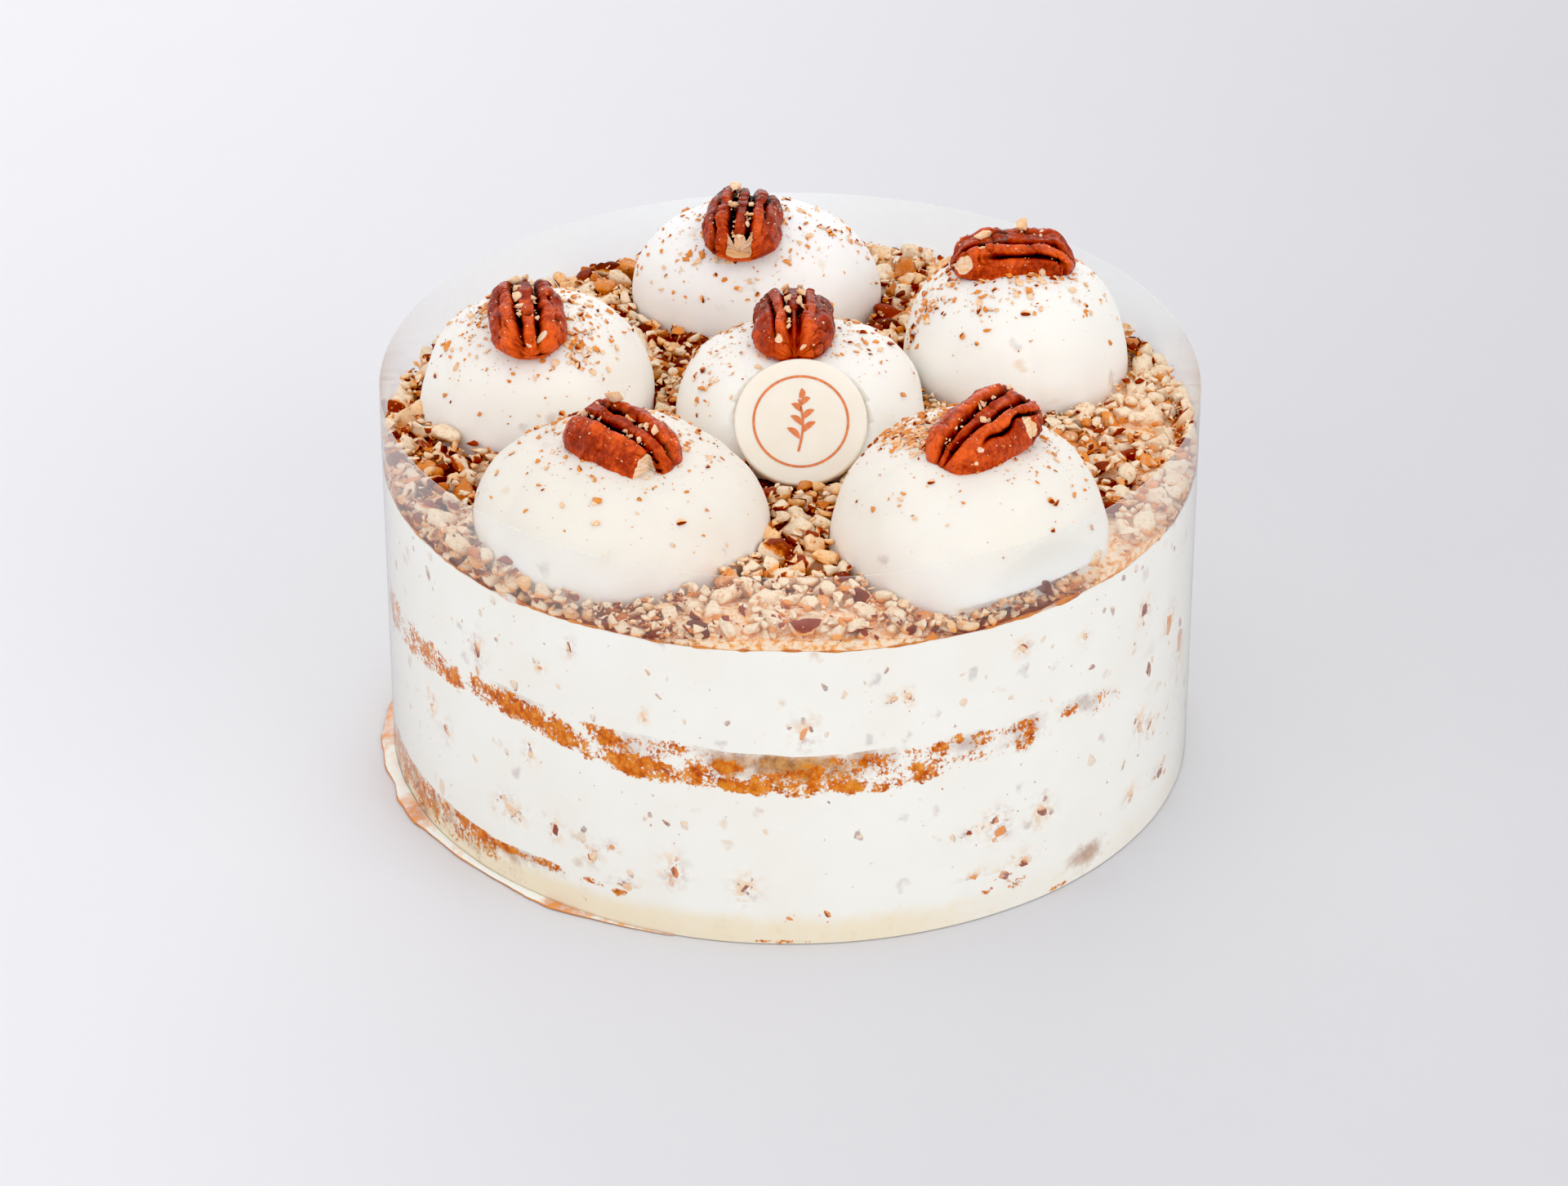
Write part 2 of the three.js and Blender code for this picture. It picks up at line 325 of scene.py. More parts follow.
def grid_faces(rows, sides, loop=False):
    """Quads of a grid of vertices, joined round each row and, if looped, from the last row to the first."""
    row, side = np.meshgrid(np.arange(rows if loop else rows - 1), np.arange(sides), indexing="ij")
    low = row * sides
    above = ((row + 1) % rows) * sides
    beside = (side + 1) % sides
    quads = [low + side, low + beside, above + beside, above + side]
    return np.stack(quads, axis=-1).reshape(-1, 4)


def capped(points, sides, first, last, inward=False):
    """Vertices and faces of rings of points, closed at both ends by a fan on a middle vertex."""
    ring = np.arange(sides)
    after = np.roll(ring, -1)
    end = len(points) - sides
    middle = np.full(sides, len(points))
    faces = []
    for group in (
        grid_faces(len(points) // sides, sides), columns(middle, after, ring),
        columns(middle + 1, end + ring, end + after),
    ):
        faces += (group[:, ::-1] if inward else group).tolist()
    return np.vstack([points, first, last]), faces


def swept(sections):
    """Vertices and faces of a solid drawn through closed cross-sections, one row each."""
    rows, corners, _ = sections.shape
    faces = grid_faces(rows, corners).tolist()
    faces.append(list(range(corners))[::-1])
    faces.append(list(range((rows - 1) * corners, rows * corners)))
    return sections.reshape(-1, 3), faces


# Materials

# Numbers of the colour sockets of a mix node
MIX_FACTOR = 0
MIX_FIRST = 6
MIX_SECOND = 7
MIX_RESULT = 2


class Look:
    """A material in the making. Each method adds nodes and gives their output; sizes are in millimetres."""

    def __init__(self, name):
        self.material = bpy.data.materials.new(name)
        self.material.use_nodes = True
        self.tree = self.material.node_tree
        self.shader = self.tree.nodes["Principled BSDF"]
        self.place = self.tree.nodes.new("ShaderNodeTexCoord").outputs["Object"]

    def node(self, kind, values=None, links=None, **settings):
        made = self.tree.nodes.new(kind)
        for key, value in settings.items():
            setattr(made, key, value)
        for key, value in (values or {}).items():
            made.inputs[key].default_value = value
        for key, socket in (links or {}).items():
            self.tree.links.new(socket, made.inputs[key])
        return made

    def fill(self, socket, value):
        """Gives an input a number, a colour or another node's output."""
        if isinstance(value, bpy.types.NodeSocket):
            self.tree.links.new(value, socket)
        else:
            socket.default_value = value

    def put(self, **inputs):
        """Fills inputs of the surface, named with low lines for spaces."""
        for name, value in inputs.items():
            self.fill(self.shader.inputs[name.replace("_", " ")], value)

    def noise(self, size, detail=3.0, roughness=0.55, place=None):
        """Noise with features of about the given size."""
        values = {"Scale": 1.0 / (size * MM), "Detail": detail, "Roughness": roughness}
        place = self.place if place is None else place
        return self.node("ShaderNodeTexNoise", values, {"Vector": place}).outputs["Fac"]

    def ramp(self, factor, *stops):
        """A colour ramp of (place, colour) stops."""
        made = self.node("ShaderNodeValToRGB", links={"Fac": factor})
        elements = made.color_ramp.elements
        while len(elements) < len(stops):
            elements.new(0.5)
        for element, (place, colour) in zip(elements, stops):
            element.position = place
            element.color = (*colour, 1.0)
        return made.outputs["Color"]

    def span(self, value, low, high, to_low=0.0, to_high=1.0):
        """Maps low to high onto the other two numbers, smoothly and held at both ends."""
        values = {"From Min": low, "From Max": high, "To Min": to_low, "To Max": to_high}
        made = self.node("ShaderNodeMapRange", values, {"Value": value}, interpolation_type="SMOOTHSTEP")
        return made.outputs["Result"]

    def maths(self, operation, first, second):
        made = self.node("ShaderNodeMath", operation=operation)
        self.fill(made.inputs[0], first)
        self.fill(made.inputs[1], second)
        return made.outputs[0]

    def times(self, first, second):
        return self.maths("MULTIPLY", first, second)

    def plus(self, first, share, second):
        """The first value plus a share of the second."""
        return self.maths("ADD", first, self.times(second, share))

    def vector(self, operation, first, second):
        """Vector arithmetic with an output, a plain vector or, for scaling, a number."""
        made = self.node("ShaderNodeVectorMath", links={0: first}, operation=operation)
        self.fill(made.inputs["Scale" if operation == "SCALE" else 1], second)
        return made.outputs[0]

    def mixed(self, factor, first, second):
        """Blends two colours, each an output or a plain colour."""
        made = self.node("ShaderNodeMix", links={MIX_FACTOR: factor}, data_type="RGBA")
        for number, colour in ((MIX_FIRST, first), (MIX_SECOND, second)):
            self.fill(made.inputs[number], (*colour, 1.0) if isinstance(colour, tuple) else colour)
        return made.outputs[MIX_RESULT]

    def stored(self, name):
        return self.node("ShaderNodeAttribute", attribute_name=name).outputs["Fac"]

    def bump(self, height, strength, distance):
        values = {"Strength": strength, "Distance": distance * MM}
        self.put(Normal=self.node("ShaderNodeBump", values, {"Height": height}).outputs["Normal"])

    def soften(self, weight, radius, scale):
        """Lets light in under the surface."""
        self.put(Subsurface_Weight=weight, Subsurface_Radius=radius, Subsurface_Scale=scale * MM)


def sunken_bits(look, cell, share):
    """Soft spots where something dark lies under a skin of cream, and a random shade for each."""
    size = cell * MM
    reach = 0.3
    wander = look.node("ShaderNodeTexNoise", {"Scale": 2.6 / size, "Detail": 3.0}, {"Vector": look.place})
    shift = look.vector("SUBTRACT", wander.outputs["Color"], (0.5, 0.5, 0.5))
    moved = look.vector("ADD", look.place, look.vector("SCALE", shift, 0.75 * size))
    cells = look.node("ShaderNodeTexVoronoi", {"Scale": 1.0 / size}, {"Vector": moved})
    parts = look.node("ShaderNodeSeparateColor", links={"Color": cells.outputs["Color"]})
    near = look.span(cells.outputs["Distance"], reach, 0.1 * reach)
    chosen = look.span(parts.outputs[0], 1.0 - share, 1.0 - share + 0.05)
    return look.times(near, chosen), parts.outputs[1]


def cream_colour(look, dark, light):
    return look.ramp(look.noise(18), (0.3, dark), (0.62, light))


def make_cream(name, dark, light, spot_cell, spot_share, spot_depth, softness, painted_light=None):
    """Ivory cream with soft spots of what lies just under it, paler where a stored value paints light, or
    stained by a stored value.
    """
    look = Look(name)
    colour = cream_colour(look, dark, light)
    # Painted light: the stored value makes the scoops paler where shade falls
    if painted_light:
        colour = look.mixed(look.stored("painted_light"), colour, painted_light)
    spot, shade = sunken_bits(look, spot_cell, spot_share)
    spot_colour = look.ramp(shade, (0.15, SPOT_GREY), (0.5, SPOT_BROWN), (0.9, SPOT_AMBER))
    colour = look.mixed(look.times(spot, spot_depth), colour, spot_colour)
    if not painted_light:
        clouds = look.noise(2.2, 4, 0.65)
        stain = look.times(look.stored("stain"), look.span(clouds, 0.42, 0.62))
        tint = look.ramp(look.noise(7), (0.42, SIDE_STAIN_COOL), (0.56, SIDE_STAIN_WARM))
        colour = look.mixed(stain, colour, tint)
    gloss = look.noise(3, 4)
    look.put(Base_Color=colour, Roughness=look.span(gloss, 0.2, 0.9, 0.42, 0.62), Specular_IOR_Level=0.3)
    look.bump(look.noise(1.6, 5, 0.6), 0.1, 0.5)
    look.soften(softness, (1.0, 0.82, 0.6), 3.0)
    return look.material


def make_sponge():
    """Crumb that shows through smeared cream where the stored values say so."""
    look = Look("sponge")
    crumb = look.noise(2.6, 6, 0.7)
    coarse = look.noise(4, 3, 0.6)
    lace = look.noise(0.95, 6, 0.75)
    clouds = look.noise(4.5, 6, 0.65)
    warm = look.stored("warm")
    level = look.plus(look.plus(look.stored("bare"), 1.3, coarse), 2.2, lace)
    cover = look.span(level, 1.69, 1.77)
    rim = look.span(level, 1.58, 1.76)
    colour = look.ramp(crumb, (0.36, SPONGE_DARK), (0.5, SPONGE_MIDDLE), (0.66, SPONGE_LIGHT))
    golden = look.times(look.span(clouds, 0.5, 0.64), look.span(warm, 0, 1, 0.2, 0.75))
    colour = look.mixed(golden, colour, SPONGE_GOLD)
    under = look.span(look.plus(look.stored("thin"), 2.0, clouds), 1.15, 2.1)
    caramel = look.ramp(crumb, (0.38, CARAMEL_DARK), (0.62, CARAMEL_LIGHT))
    veil = look.mixed(warm, THIN_CREAM, caramel)
    cream = cream_colour(look, CREAM_DARK, CREAM_LIGHT)
    damp = look.span(look.plus(look.stored("damp"), 0.8, clouds), 0.45, 1.25)
    smear = look.mixed(under, look.mixed(damp, cream, FOOT_STAIN), veil)
    smear = look.mixed(look.times(rim, 0.4), smear, SPONGE_LIGHT)
    colour = look.mixed(cover, smear, colour)
    look.put(Base_Color=colour, Roughness=look.span(cover, 0, 1, 0.5, 0.8), Specular_IOR_Level=0.15)
    look.bump(look.times(crumb, cover), 0.4, 0.6)
    return look.material


def make_nut(name, veiled):
    """Chopped nut with skin on some sides, painted warm orange below as shade, and if veiled, under a veil of
    cream.
    """
    look = Look(name)
    grain = look.noise(0.9, 5, 0.65)
    patch = look.noise(2.6, 3, 0.6)
    tone = look.plus(look.plus(look.times(look.stored("tone"), 0.6), 0.35, grain), 0.35, patch)
    flesh = look.ramp(tone, (0.30, NUT_FLESH_DARK), (0.66, NUT_FLESH_LIGHT))
    husk = look.ramp(tone, (0.2, NUT_SKIN_DARK), (0.95, NUT_SKIN_LIGHT))
    glaze = look.ramp(tone, (0.25, NUT_GLAZE_DARK), (0.8, NUT_GLAZE_LIGHT))
    pits = look.span(grain, 0.47, 0.34, 0.0, 0.5)
    edge = look.plus(look.stored("skin"), 0.5, patch)
    wet = look.span(look.plus(look.stored("amber"), 0.7, patch), 0.5, 0.95)
    # Painted shade: the lower side of each bit, by the stored value, turns warm orange
    shaded_below = look.span(look.plus(look.stored("shade_below"), 0.8, patch), 0.05, 0.95)
    flesh = look.mixed(shaded_below, flesh, NUT_SHADE_BELOW)
    colour = look.mixed(pits, look.mixed(wet, flesh, glaze), NUT_STAIN)
    colour = look.mixed(look.span(edge, 0.52, 0.74), colour, NUT_STAIN)
    colour = look.mixed(look.span(edge, 0.72, 0.82), colour, husk)
    if veiled:
        veil = look.times(look.span(patch, 0.3, 0.7, 0.4, 1.0), look.stored("veil"))
        colour = look.mixed(veil, colour, CREAM_DARK)
    look.put(Base_Color=colour, Roughness=look.span(wet, 0, 1, 0.5, 0.24))
    look.put(Specular_IOR_Level=0.3, Specular_Tint=NUT_SHINE)
    look.bump(grain, 0.75, 0.6)
    return look.material


def make_heap_bed():
    """Painted shade under the nuts, dark red-brown with some syrup colour, or cream where the stored value is
    high.
    """
    look = Look("heap_bed")
    grain = look.noise(1.5, 5, 0.65)
    # Painted shade for the gaps between the nuts, with syrup colours
    dark = look.ramp(grain, (0.42, HEAP_GAP_SHADE), (0.6, AMBER_DARK), (0.72, NUT_FLESH_DARK))
    pale = look.ramp(grain, (0.36, AMBER_LIGHT), (0.46, NUT_FLESH_DARK), (0.54, HEAP_BED_PALE))
    share = look.span(look.plus(look.stored("pale"), 0.8, grain), 0.5, 0.9)
    roughness = look.span(grain, 0.3, 0.7, 0.35, 0.7)
    look.put(Base_Color=look.mixed(share, dark, pale), Roughness=roughness, Specular_IOR_Level=0.2)
    look.bump(grain, 0.6, 0.6)
    return look.material


def make_pecan():
    """Glossy brown skin, blotched and wrinkled, with painted shade near black in the furrows, painted light
    towards the front and on the crests, and off in the stored bare spots.
    """
    look = Look("pecan_half")
    run, girth = look.stored("run"), look.stored("girth")
    skin = look.node("ShaderNodeCombineXYZ", links={"X": run, "Y": girth}).outputs["Vector"]
    blotch = look.noise(5, 4, 0.6)
    fine = look.noise(0.5, 4, 0.6)
    wrinkle = look.noise(0.8, 4, 0.6, look.vector("MULTIPLY", skin, (0.75, 0.42, 1.0)))
    streak = look.noise(0.7, 4, 0.6, look.vector("MULTIPLY", skin, (0.14, 1.0, 1.0)))
    tone = look.plus(look.times(blotch, 0.42), 0.2, streak)
    tone = look.plus(tone, 0.38, wrinkle)
    # Painted light: the stored glow lifts the tone of the skin towards the front
    tone = look.plus(tone, 0.25, look.stored("glow"))
    # Painted highlight: the crests of the lobes are painted lighter
    tone = look.plus(tone, 0.07, look.stored("crest"))
    colour = look.ramp(tone, (0.48, PECAN_DARK), (0.64, PECAN_LIGHT), (0.80, PECAN_TIP))
    # Painted shade: the furrows and creases are painted near black
    deep = look.span(look.plus(look.stored("deep"), 0.5, wrinkle), 0.38, 0.92)
    colour = look.mixed(deep, colour, PECAN_FURROW_SHADE)
    bare = look.span(look.plus(look.stored("bare"), 0.6, fine), 0.72, 0.86)
    flesh = look.ramp(streak, (0.38, NUT_FLESH_DARK), (0.55, PECAN_FLESH))
    look.put(Base_Color=look.mixed(bare, colour, flesh), Roughness=look.span(blotch, 0.3, 0.7, 0.16, 0.30))
    look.put(Specular_IOR_Level=0.5, Specular_Tint=NUT_SHINE)
    look.bump(look.plus(wrinkle, 0.6, fine), 0.9, 0.5)
    return look.material


def make_chocolate():
    look = Look("white_chocolate")
    tone = look.noise(9)
    colour = look.ramp(tone, (0.3, CHOCOLATE_DARK), (0.65, CHOCOLATE_LIGHT))
    look.put(Base_Color=colour, Roughness=look.span(tone, 0.3, 0.7, 0.3, 0.42))
    look.bump(look.noise(1.2), 0.05, 0.2)
    look.soften(0.4, (1.0, 0.8, 0.5), 1.5)
    return look.material


def make_print():
    look = Look("cocoa_print")
    tone = look.noise(1.1, 4, 0.65)
    colour = look.ramp(tone, (0.4, PRINT_COLOUR), (0.68, PRINT_PALE))
    look.put(Base_Color=colour, Roughness=look.span(tone, 0.3, 0.7, 0.4, 0.55))
    return look.material


def make_syrup():
    """Wet amber syrup that turns to cream where the stored amber is low."""
    look = Look("syrup")
    tone = look.noise(3, 5, 0.65)
    amber = look.ramp(tone, (0.36, AMBER_DARK), (0.62, AMBER_LIGHT))
    share = look.span(look.plus(look.stored("amber"), 1.2, tone), 0.75, 1.45)
    look.put(Base_Color=look.mixed(share, CREAM_DARK, amber), Roughness=look.span(share, 0, 1, 0.5, 0.25))
    look.soften(0.35, (1.0, 0.5, 0.15), 1.5)
    return look.material


def make_film():
    """Clear film, hazy by a stored value, that mirrors more the flatter it is looked at."""
    look = Look("clear_film")
    look.tree.nodes.remove(look.shader)

    def blend(factor, first, second):
        made = look.node("ShaderNodeMixShader", links={1: first.outputs[0], 2: second.outputs[0]})
        look.fill(made.inputs["Fac"], factor)
        return made

    clear = look.node("ShaderNodeBsdfTransparent")
    frost = look.node("ShaderNodeBsdfDiffuse", {"Color": FILM_TINT})
    glow = look.node("ShaderNodeBsdfTranslucent", {"Color": FILM_TINT})
    shine = look.node("ShaderNodeBsdfGlossy", {"Roughness": 0.25})
    haze = look.times(look.stored("haze"), look.span(look.noise(25, 2), 0.2, 0.8, 0.8, 1.2))
    hazed = blend(haze, clear, blend(FILM_GLOW, frost, glow))
    facing = look.node("ShaderNodeLayerWeight", {"Blend": 0.5}).outputs["Facing"]
    steep = look.maths("POWER", facing, FILM_MIRROR_POWER)
    mirrored = look.maths("ADD", look.times(steep, FILM_MIRROR_RISE), FILM_MIRROR_LEAST)
    surface = blend(mirrored, hazed, shine).outputs[0]
    look.tree.links.new(surface, look.tree.nodes["Material Output"].inputs["Surface"])
    return look.material


def make_floor():
    """Pale floor with painted shade, darker to the right."""
    look = Look("pale_floor")
    parts = look.node("ShaderNodeSeparateXYZ", links={"Vector": look.place})
    level = look.plus(look.span(parts.outputs["X"], 0.45, -0.45), 0.06, look.noise(60, 4, 0.6))
    look.put(Base_Color=look.ramp(level, (0.0, FLOOR_PAINTED_SHADE), (1.0, FLOOR_COLOUR)), Roughness=0.8)
    return look.material


DOME_CREAM = make_cream(
    "dome_cream", SCOOP_DARK, SCOOP_LIGHT,
    spot_cell=8, spot_share=0.26, spot_depth=0.5, softness=0.5, painted_light=SCOOP_PAINTED_LIGHT_COLOUR,
)
SIDE_CREAM = make_cream(
    "side_cream", CREAM_DARK, CREAM_LIGHT, spot_cell=7, spot_share=0.42, spot_depth=0.6, softness=0.0,
)
SPONGE = make_sponge()
NUT = make_nut("chopped_nut", veiled=False)
SIDE_NUT = make_nut("nut_in_cream", veiled=True)
HEAP_GROUND = make_heap_bed()
PECAN = make_pecan()
CHOCOLATE = make_chocolate()
PRINT = make_print()
SYRUP = make_syrup()
FILM = make_film()


# Layers

LAYERS = (
    ("sponge_base", SPONGE, "sponge"), ("cream_lower", SIDE_CREAM, "cream"),
    ("sponge_middle", SPONGE, "sponge"), ("cream_upper", SIDE_CREAM, "cream"),
)
# Edges between the layers: the layer below, the seed of the waves, and swells as degrees, reach and rise
LAYER_EDGES = (
    ("sponge_base", 21, ()),
    ("cream_lower", 31, ((-47, 17, 6.2), (31, 14, 1.8))),
    ("sponge_middle", 41, ((-38, 18, 1.6), (3, 9, -1.8), (58, 16, -4.2))),
)
TOP_EDGE_LIFT = 0.5 * MM
TOP_EDGE_SEED = 51


def ring_noise(degrees, long, short, share, seed):
    """Noise round the cake in long waves, with a share of short ones."""
    ring = round_the_side(degrees, CAKE_RADIUS, 0.0)
    return smooth_noise(ring, long * MM, seed) + share * smooth_noise(ring, short * MM, seed + 1)


def edge_wave(degrees, seed):
    return LAYER_WAVE * ring_noise(degrees, long=14, short=5, share=0.5, seed=seed)


def layer_edges(degrees):
    """Height of each edge between layers, from the foot to the top, round the cake."""
    edges = [np.zeros_like(degrees)]
    for name, seed, swells in LAYER_EDGES:
        edges.append(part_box(name)[1].z + edge_wave(degrees, seed) + swell(degrees, swells))
    edges.append(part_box("cream_upper")[1].z + TOP_EDGE_LIFT + 0.5 * edge_wave(degrees, TOP_EDGE_SEED))
    return edges


# Patches of bare crumb: degrees, share of the layer's height, half width, half height, bareness
BAND_PATCHES = (
    (-76, 0.5, 5, 0.5, 0), (-67, 0.5, 4, 0.5, -0.04), (-60, 0.5, 4.5, 0.45, 0.02),
    (-54, 0.35, 1.6, 0.3, 0.2), (-47, 0.45, 3, 0.3, 0.1), (-41.5, 0.5, 2.3, 0.36, 0.32),
    (-37.5, 0.56, 2, 0.3, 0.3), (-33, 0.4, 3.2, 0.3, 0.3), (-28.7, 0.3, 1, 0.25, 0.16),
    (-26.5, 0.88, 2.6, 0.14, 0.06), (-25, 0.7, 2.6, 0.14, 0.26), (-21, 0.3, 5, 0.22, 0.32),
    (-17, 0.8, 3.8, 0.16, 0.04), (-12.8, 0.35, 2.6, 0.3, 0.04), (-8.5, 0.62, 2.2, 0.14, 0.22),
    (-7.7, 0.22, 2, 0.18, 0.28), (-3.8, 0.25, 1.6, 0.26, 0.34), (1, 0.35, 3.6, 0.36, 0.08),
    (3.2, 0.5, 1, 0.34, 0.34), (5.5, 0.58, 4, 0.3, 0.02), (8, 0.22, 2, 0.14, 0.28),
    (13, 0.7, 4.5, 0.2, -0.04), (12.3, 0.12, 1.6, 0.1, 0.1), (15.2, 0.35, 1.3, 0.3, -0.14),
    (19, 0.32, 2.4, 0.26, 0.1), (20.8, 0.74, 1.6, 0.18, 0.22), (23.2, 0.86, 1, 0.14, 0.2),
    (26.8, 0.72, 1.7, 0.24, 0.06), (25.8, 0.32, 2.7, 0.18, -0.04), (33.2, 0.8, 2.5, 0.14, 0),
    (34, 0.45, 1.7, 0.24, 0.08), (41.8, 0.7, 1.9, 0.16, 0.14), (49, 0.6, 4.5, 0.4, -0.26),
)
FOOT_PATCHES = (
    (-74, 0.6, 9, 0.6, 0.02), (-63, 0.62, 6, 0.55, 0), (-55, 0.62, 5, 0.4, -0.06),
    (-47, 0.62, 4, 0.3, -0.14), (-50, 0.88, 4.5, 0.2, 0.2), (-43.5, 0.9, 3, 0.13, 0.26),
    (-36, 0.92, 3, 0.12, 0.02), (-28, 0.95, 2, 0.1, 0.06), (-24, 0.84, 1.5, 0.12, 0.04),
    (-1, 0.05, 5, 0.06, 0), (28, 0.62, 1.2, 0.14, -0.15), (33, 0.66, 2, 0.2, -0.15),
    (40.5, 0.06, 2.4, 0.07, 0),
)
# Smears of cream so thin that the sponge shows through: degrees, share, half width, half height, thinness
BAND_SMEARS = (
    (-40, 0.92, 5, 0.2, 0.7), (-22, 0.74, 4.6, 0.26, 0.8), (-8, 0.72, 3.6, 0.32, 1.25),
    (1, 0.74, 7, 0.32, 1.25), (10, 0.8, 4, 0.24, 1), (24, 0.7, 4, 0.3, 0.7),
    (34, 0.66, 5, 0.34, 0.7), (45, 0.7, 4, 0.3, 0.7),
)
FOOT_SMEARS = ((-62, 0.6, 14, 0.5, 0.7), (-42, 0.84, 7, 0.22, 0.7), (46, 0.5, 3, 0.26, 1.2))
BARE_NOWHERE = -0.85
BARE_BEHIND = -0.30
# Bareness between the patches at the front, as degrees and levels
BAND_GROUND = (
    (-75, -62, -45, 2, 8, 18, 34, 55), (-0.4, -0.34, -0.30, -0.30, -0.22, -0.28, -0.46, BARE_NOWHERE),
)
FOOT_GROUND = ((-85, -55, -30, -12), (-0.30, -0.34, -0.48, BARE_NOWHERE))
BAND_SEED = 131
FOOT_SEED = 141
WALL_SEED = 61
BACK_DEG = (72, 100)
SPONGE_RIM = (0.36, 0.52)
PATCH_SPREAD = 1.2
PATCH_SHARPNESS = 2


def highest_patch(degrees, share, patches, ground, sharpness=1):
    """The highest of many soft-edged patches over the ground level."""
    level = ground
    for centre, height, wide, tall, top in patches:
        far = ((degrees - centre) / wide) ** 2 + ((share - height) / tall) ** 2
        level = np.maximum(level, ground + (top - ground) * np.exp(-((far / PATCH_SPREAD ** 2) ** sharpness)))
    return level


def bareness(degrees, share, patches, ground, seed):
    """How bare of cream a sponge layer is: ground and patches at the front, and a scatter at the back."""
    front = np.interp(degrees, *ground)
    ring = round_the_side(degrees, CAKE_RADIUS, share * 12 * MM)
    behind = step_up(np.abs(degrees), *BACK_DEG)
    level = front + behind * (BARE_BEHIND + 0.35 * smooth_noise(ring, 9 * MM, seed) - front)
    level -= 0.6 * step_up(np.abs(share - 0.5), *SPONGE_RIM)
    return highest_patch(degrees, share, patches, level, PATCH_SHARPNESS)


def band_values(degrees, share):
    """How bare the middle band is, how thin the cream over it is, how warm and how damp it looks."""
    nowhere = np.zeros(len(degrees))
    return {
        "bare": bareness(degrees, share, BAND_PATCHES, BAND_GROUND, BAND_SEED),
        "thin": highest_patch(degrees, share, BAND_SMEARS, nowhere),
        "warm": hill(degrees, 0, 11),
        "damp": nowhere,
    }


def foot_values(degrees, share):
    """The same for the foot, which shows crumb mostly along its upper edge and is damp below."""
    damp = (1 - step_up(share, 0.35, 0.95)) * (0.62 + 0.28 * hill(degrees, -50, 40))
    return {
        "bare": bareness(degrees, share, FOOT_PATCHES, FOOT_GROUND, FOOT_SEED),
        "thin": highest_patch(degrees, share, FOOT_SMEARS, np.zeros(len(degrees))),
        "warm": 0.7 * hill(degrees, -60, 30) + 0.4 * hill(degrees, 46, 6),
        "damp": damp * (1 - 0.55 * step_up(degrees, 12, 34)),
    }


def stain_values(turn, heights):
    """How strongly the cream is stained round the larger flecks."""
    stain = np.zeros(len(turn))
    for degrees, height, wide, tall, skin, amber in SIDE_FLECKS:
        aside = np.radians(turn - degrees) * CAKE_RADIUS / MM
        far = (aside / (1.1 * wide)) ** 2 + ((heights / MM - height) / (0.95 * tall)) ** 2
        stain = np.maximum(stain, (0.5 + 0.1 * skin + 0.2 * amber) * np.exp(-far))
    return {"stain": stain}


def make_layers():
    sides = 720
    rows = 26
    degrees = np.linspace(-180, 180, sides, endpoint=False)
    edges = layer_edges(degrees)
    share = np.linspace(0, 1, rows)[:, None]
    shows = {"sponge_base": foot_values, "sponge_middle": band_values}
    for count, (name, material, slot) in enumerate(LAYERS):
        heights = edges[count] * (1 - share) + edges[count + 1] * share
        turn = np.broadcast_to(degrees, heights.shape)
        wall = round_the_side(turn, CAKE_RADIUS, heights).reshape(-1, 3)
        uneven = LAYER_UNEVEN * smooth_noise(wall, 11 * MM, WALL_SEED)
        wall[:, :2] *= (1 + uneven / CAKE_RADIUS)[:, None]
        lip = round_the_side(degrees, CAKE_RADIUS - LAYER_LIP, heights[-1] - 2 * LAYER_LIP)
        below, above = [0, 0, heights[0].mean()], [0, 0, lip[:, 2].mean()]
        shape = capped(np.vstack([wall, lip]), sides, below, above)
        if name in shows:
            values = shows[name](turn.ravel(), np.broadcast_to(share, heights.shape).ravel())
        else:
            values = stain_values(turn.ravel(), heights.ravel())
        unseen = np.zeros(len(shape[0]) - len(wall))
        values = {key: np.append(numbers, unseen) for key, numbers in values.items()}
        add_piece(name + "_look", shape, material, (name,), values, 50)


# Scoops

Dome = namedtuple("Dome", "x y base a b h")


def dome_sizes(place):
    """Middle, foot, half widths and height of a scoop."""
    low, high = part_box("dome_" + place)
    centre = (low + high) / 2
    return Dome(centre.x, centre.y, low.z, (high.x - low.x) / 2, (high.y - low.y) / 2, high.z - low.z)


DOMES = {place: dome_sizes(place) for place in PLACES}


def dome_surface(place, turn, rise):
    """Points and outward normals on a scoop; turn goes round it and rise from 0 to 90 degrees up it."""
    dome = DOMES[place]
    seed = SCOOP_SEED + SEED_STEP * PLACES.index(place)
    power = DOME_ROUNDNESS
    flat = np.cos(rise) ** (2 / power)
    up = np.sin(rise) ** (2 / power)
    x, y = flat * np.cos(turn), flat * np.sin(turn)
    points = columns(dome.x + dome.a * x, dome.y + dome.b * y, dome.base + dome.h * up)
    slope = np.maximum(flat, 1e-6) ** (power - 2)
    steep = np.maximum(up, 1e-6) ** (power - 1)
    normals = unit(columns(slope * x / dome.a, slope * y / dome.b, steep / dome.h))
    lumps = np.zeros(len(points))
    for number, (height, size) in enumerate(SCOOP_LUMPS):
        lumps += height * MM * smooth_noise(points, size * MM, seed + number)
    depth, size, sharpness = SCOOP_CREASE
    crease = 1 - np.abs(smooth_noise(points, size * MM, seed + len(SCOOP_LUMPS)))
    points = points + normals * (lumps - depth * MM * crease ** sharpness)[:, None]
    raised = step_up(points[:, 2] - dome.base, *SCOOP_FOOT_RISE)
    keep_inside(points, SCOOP_FOOT_EDGE + (SCOOP_EDGE - SCOOP_FOOT_EDGE) * raised)
    return points, normals


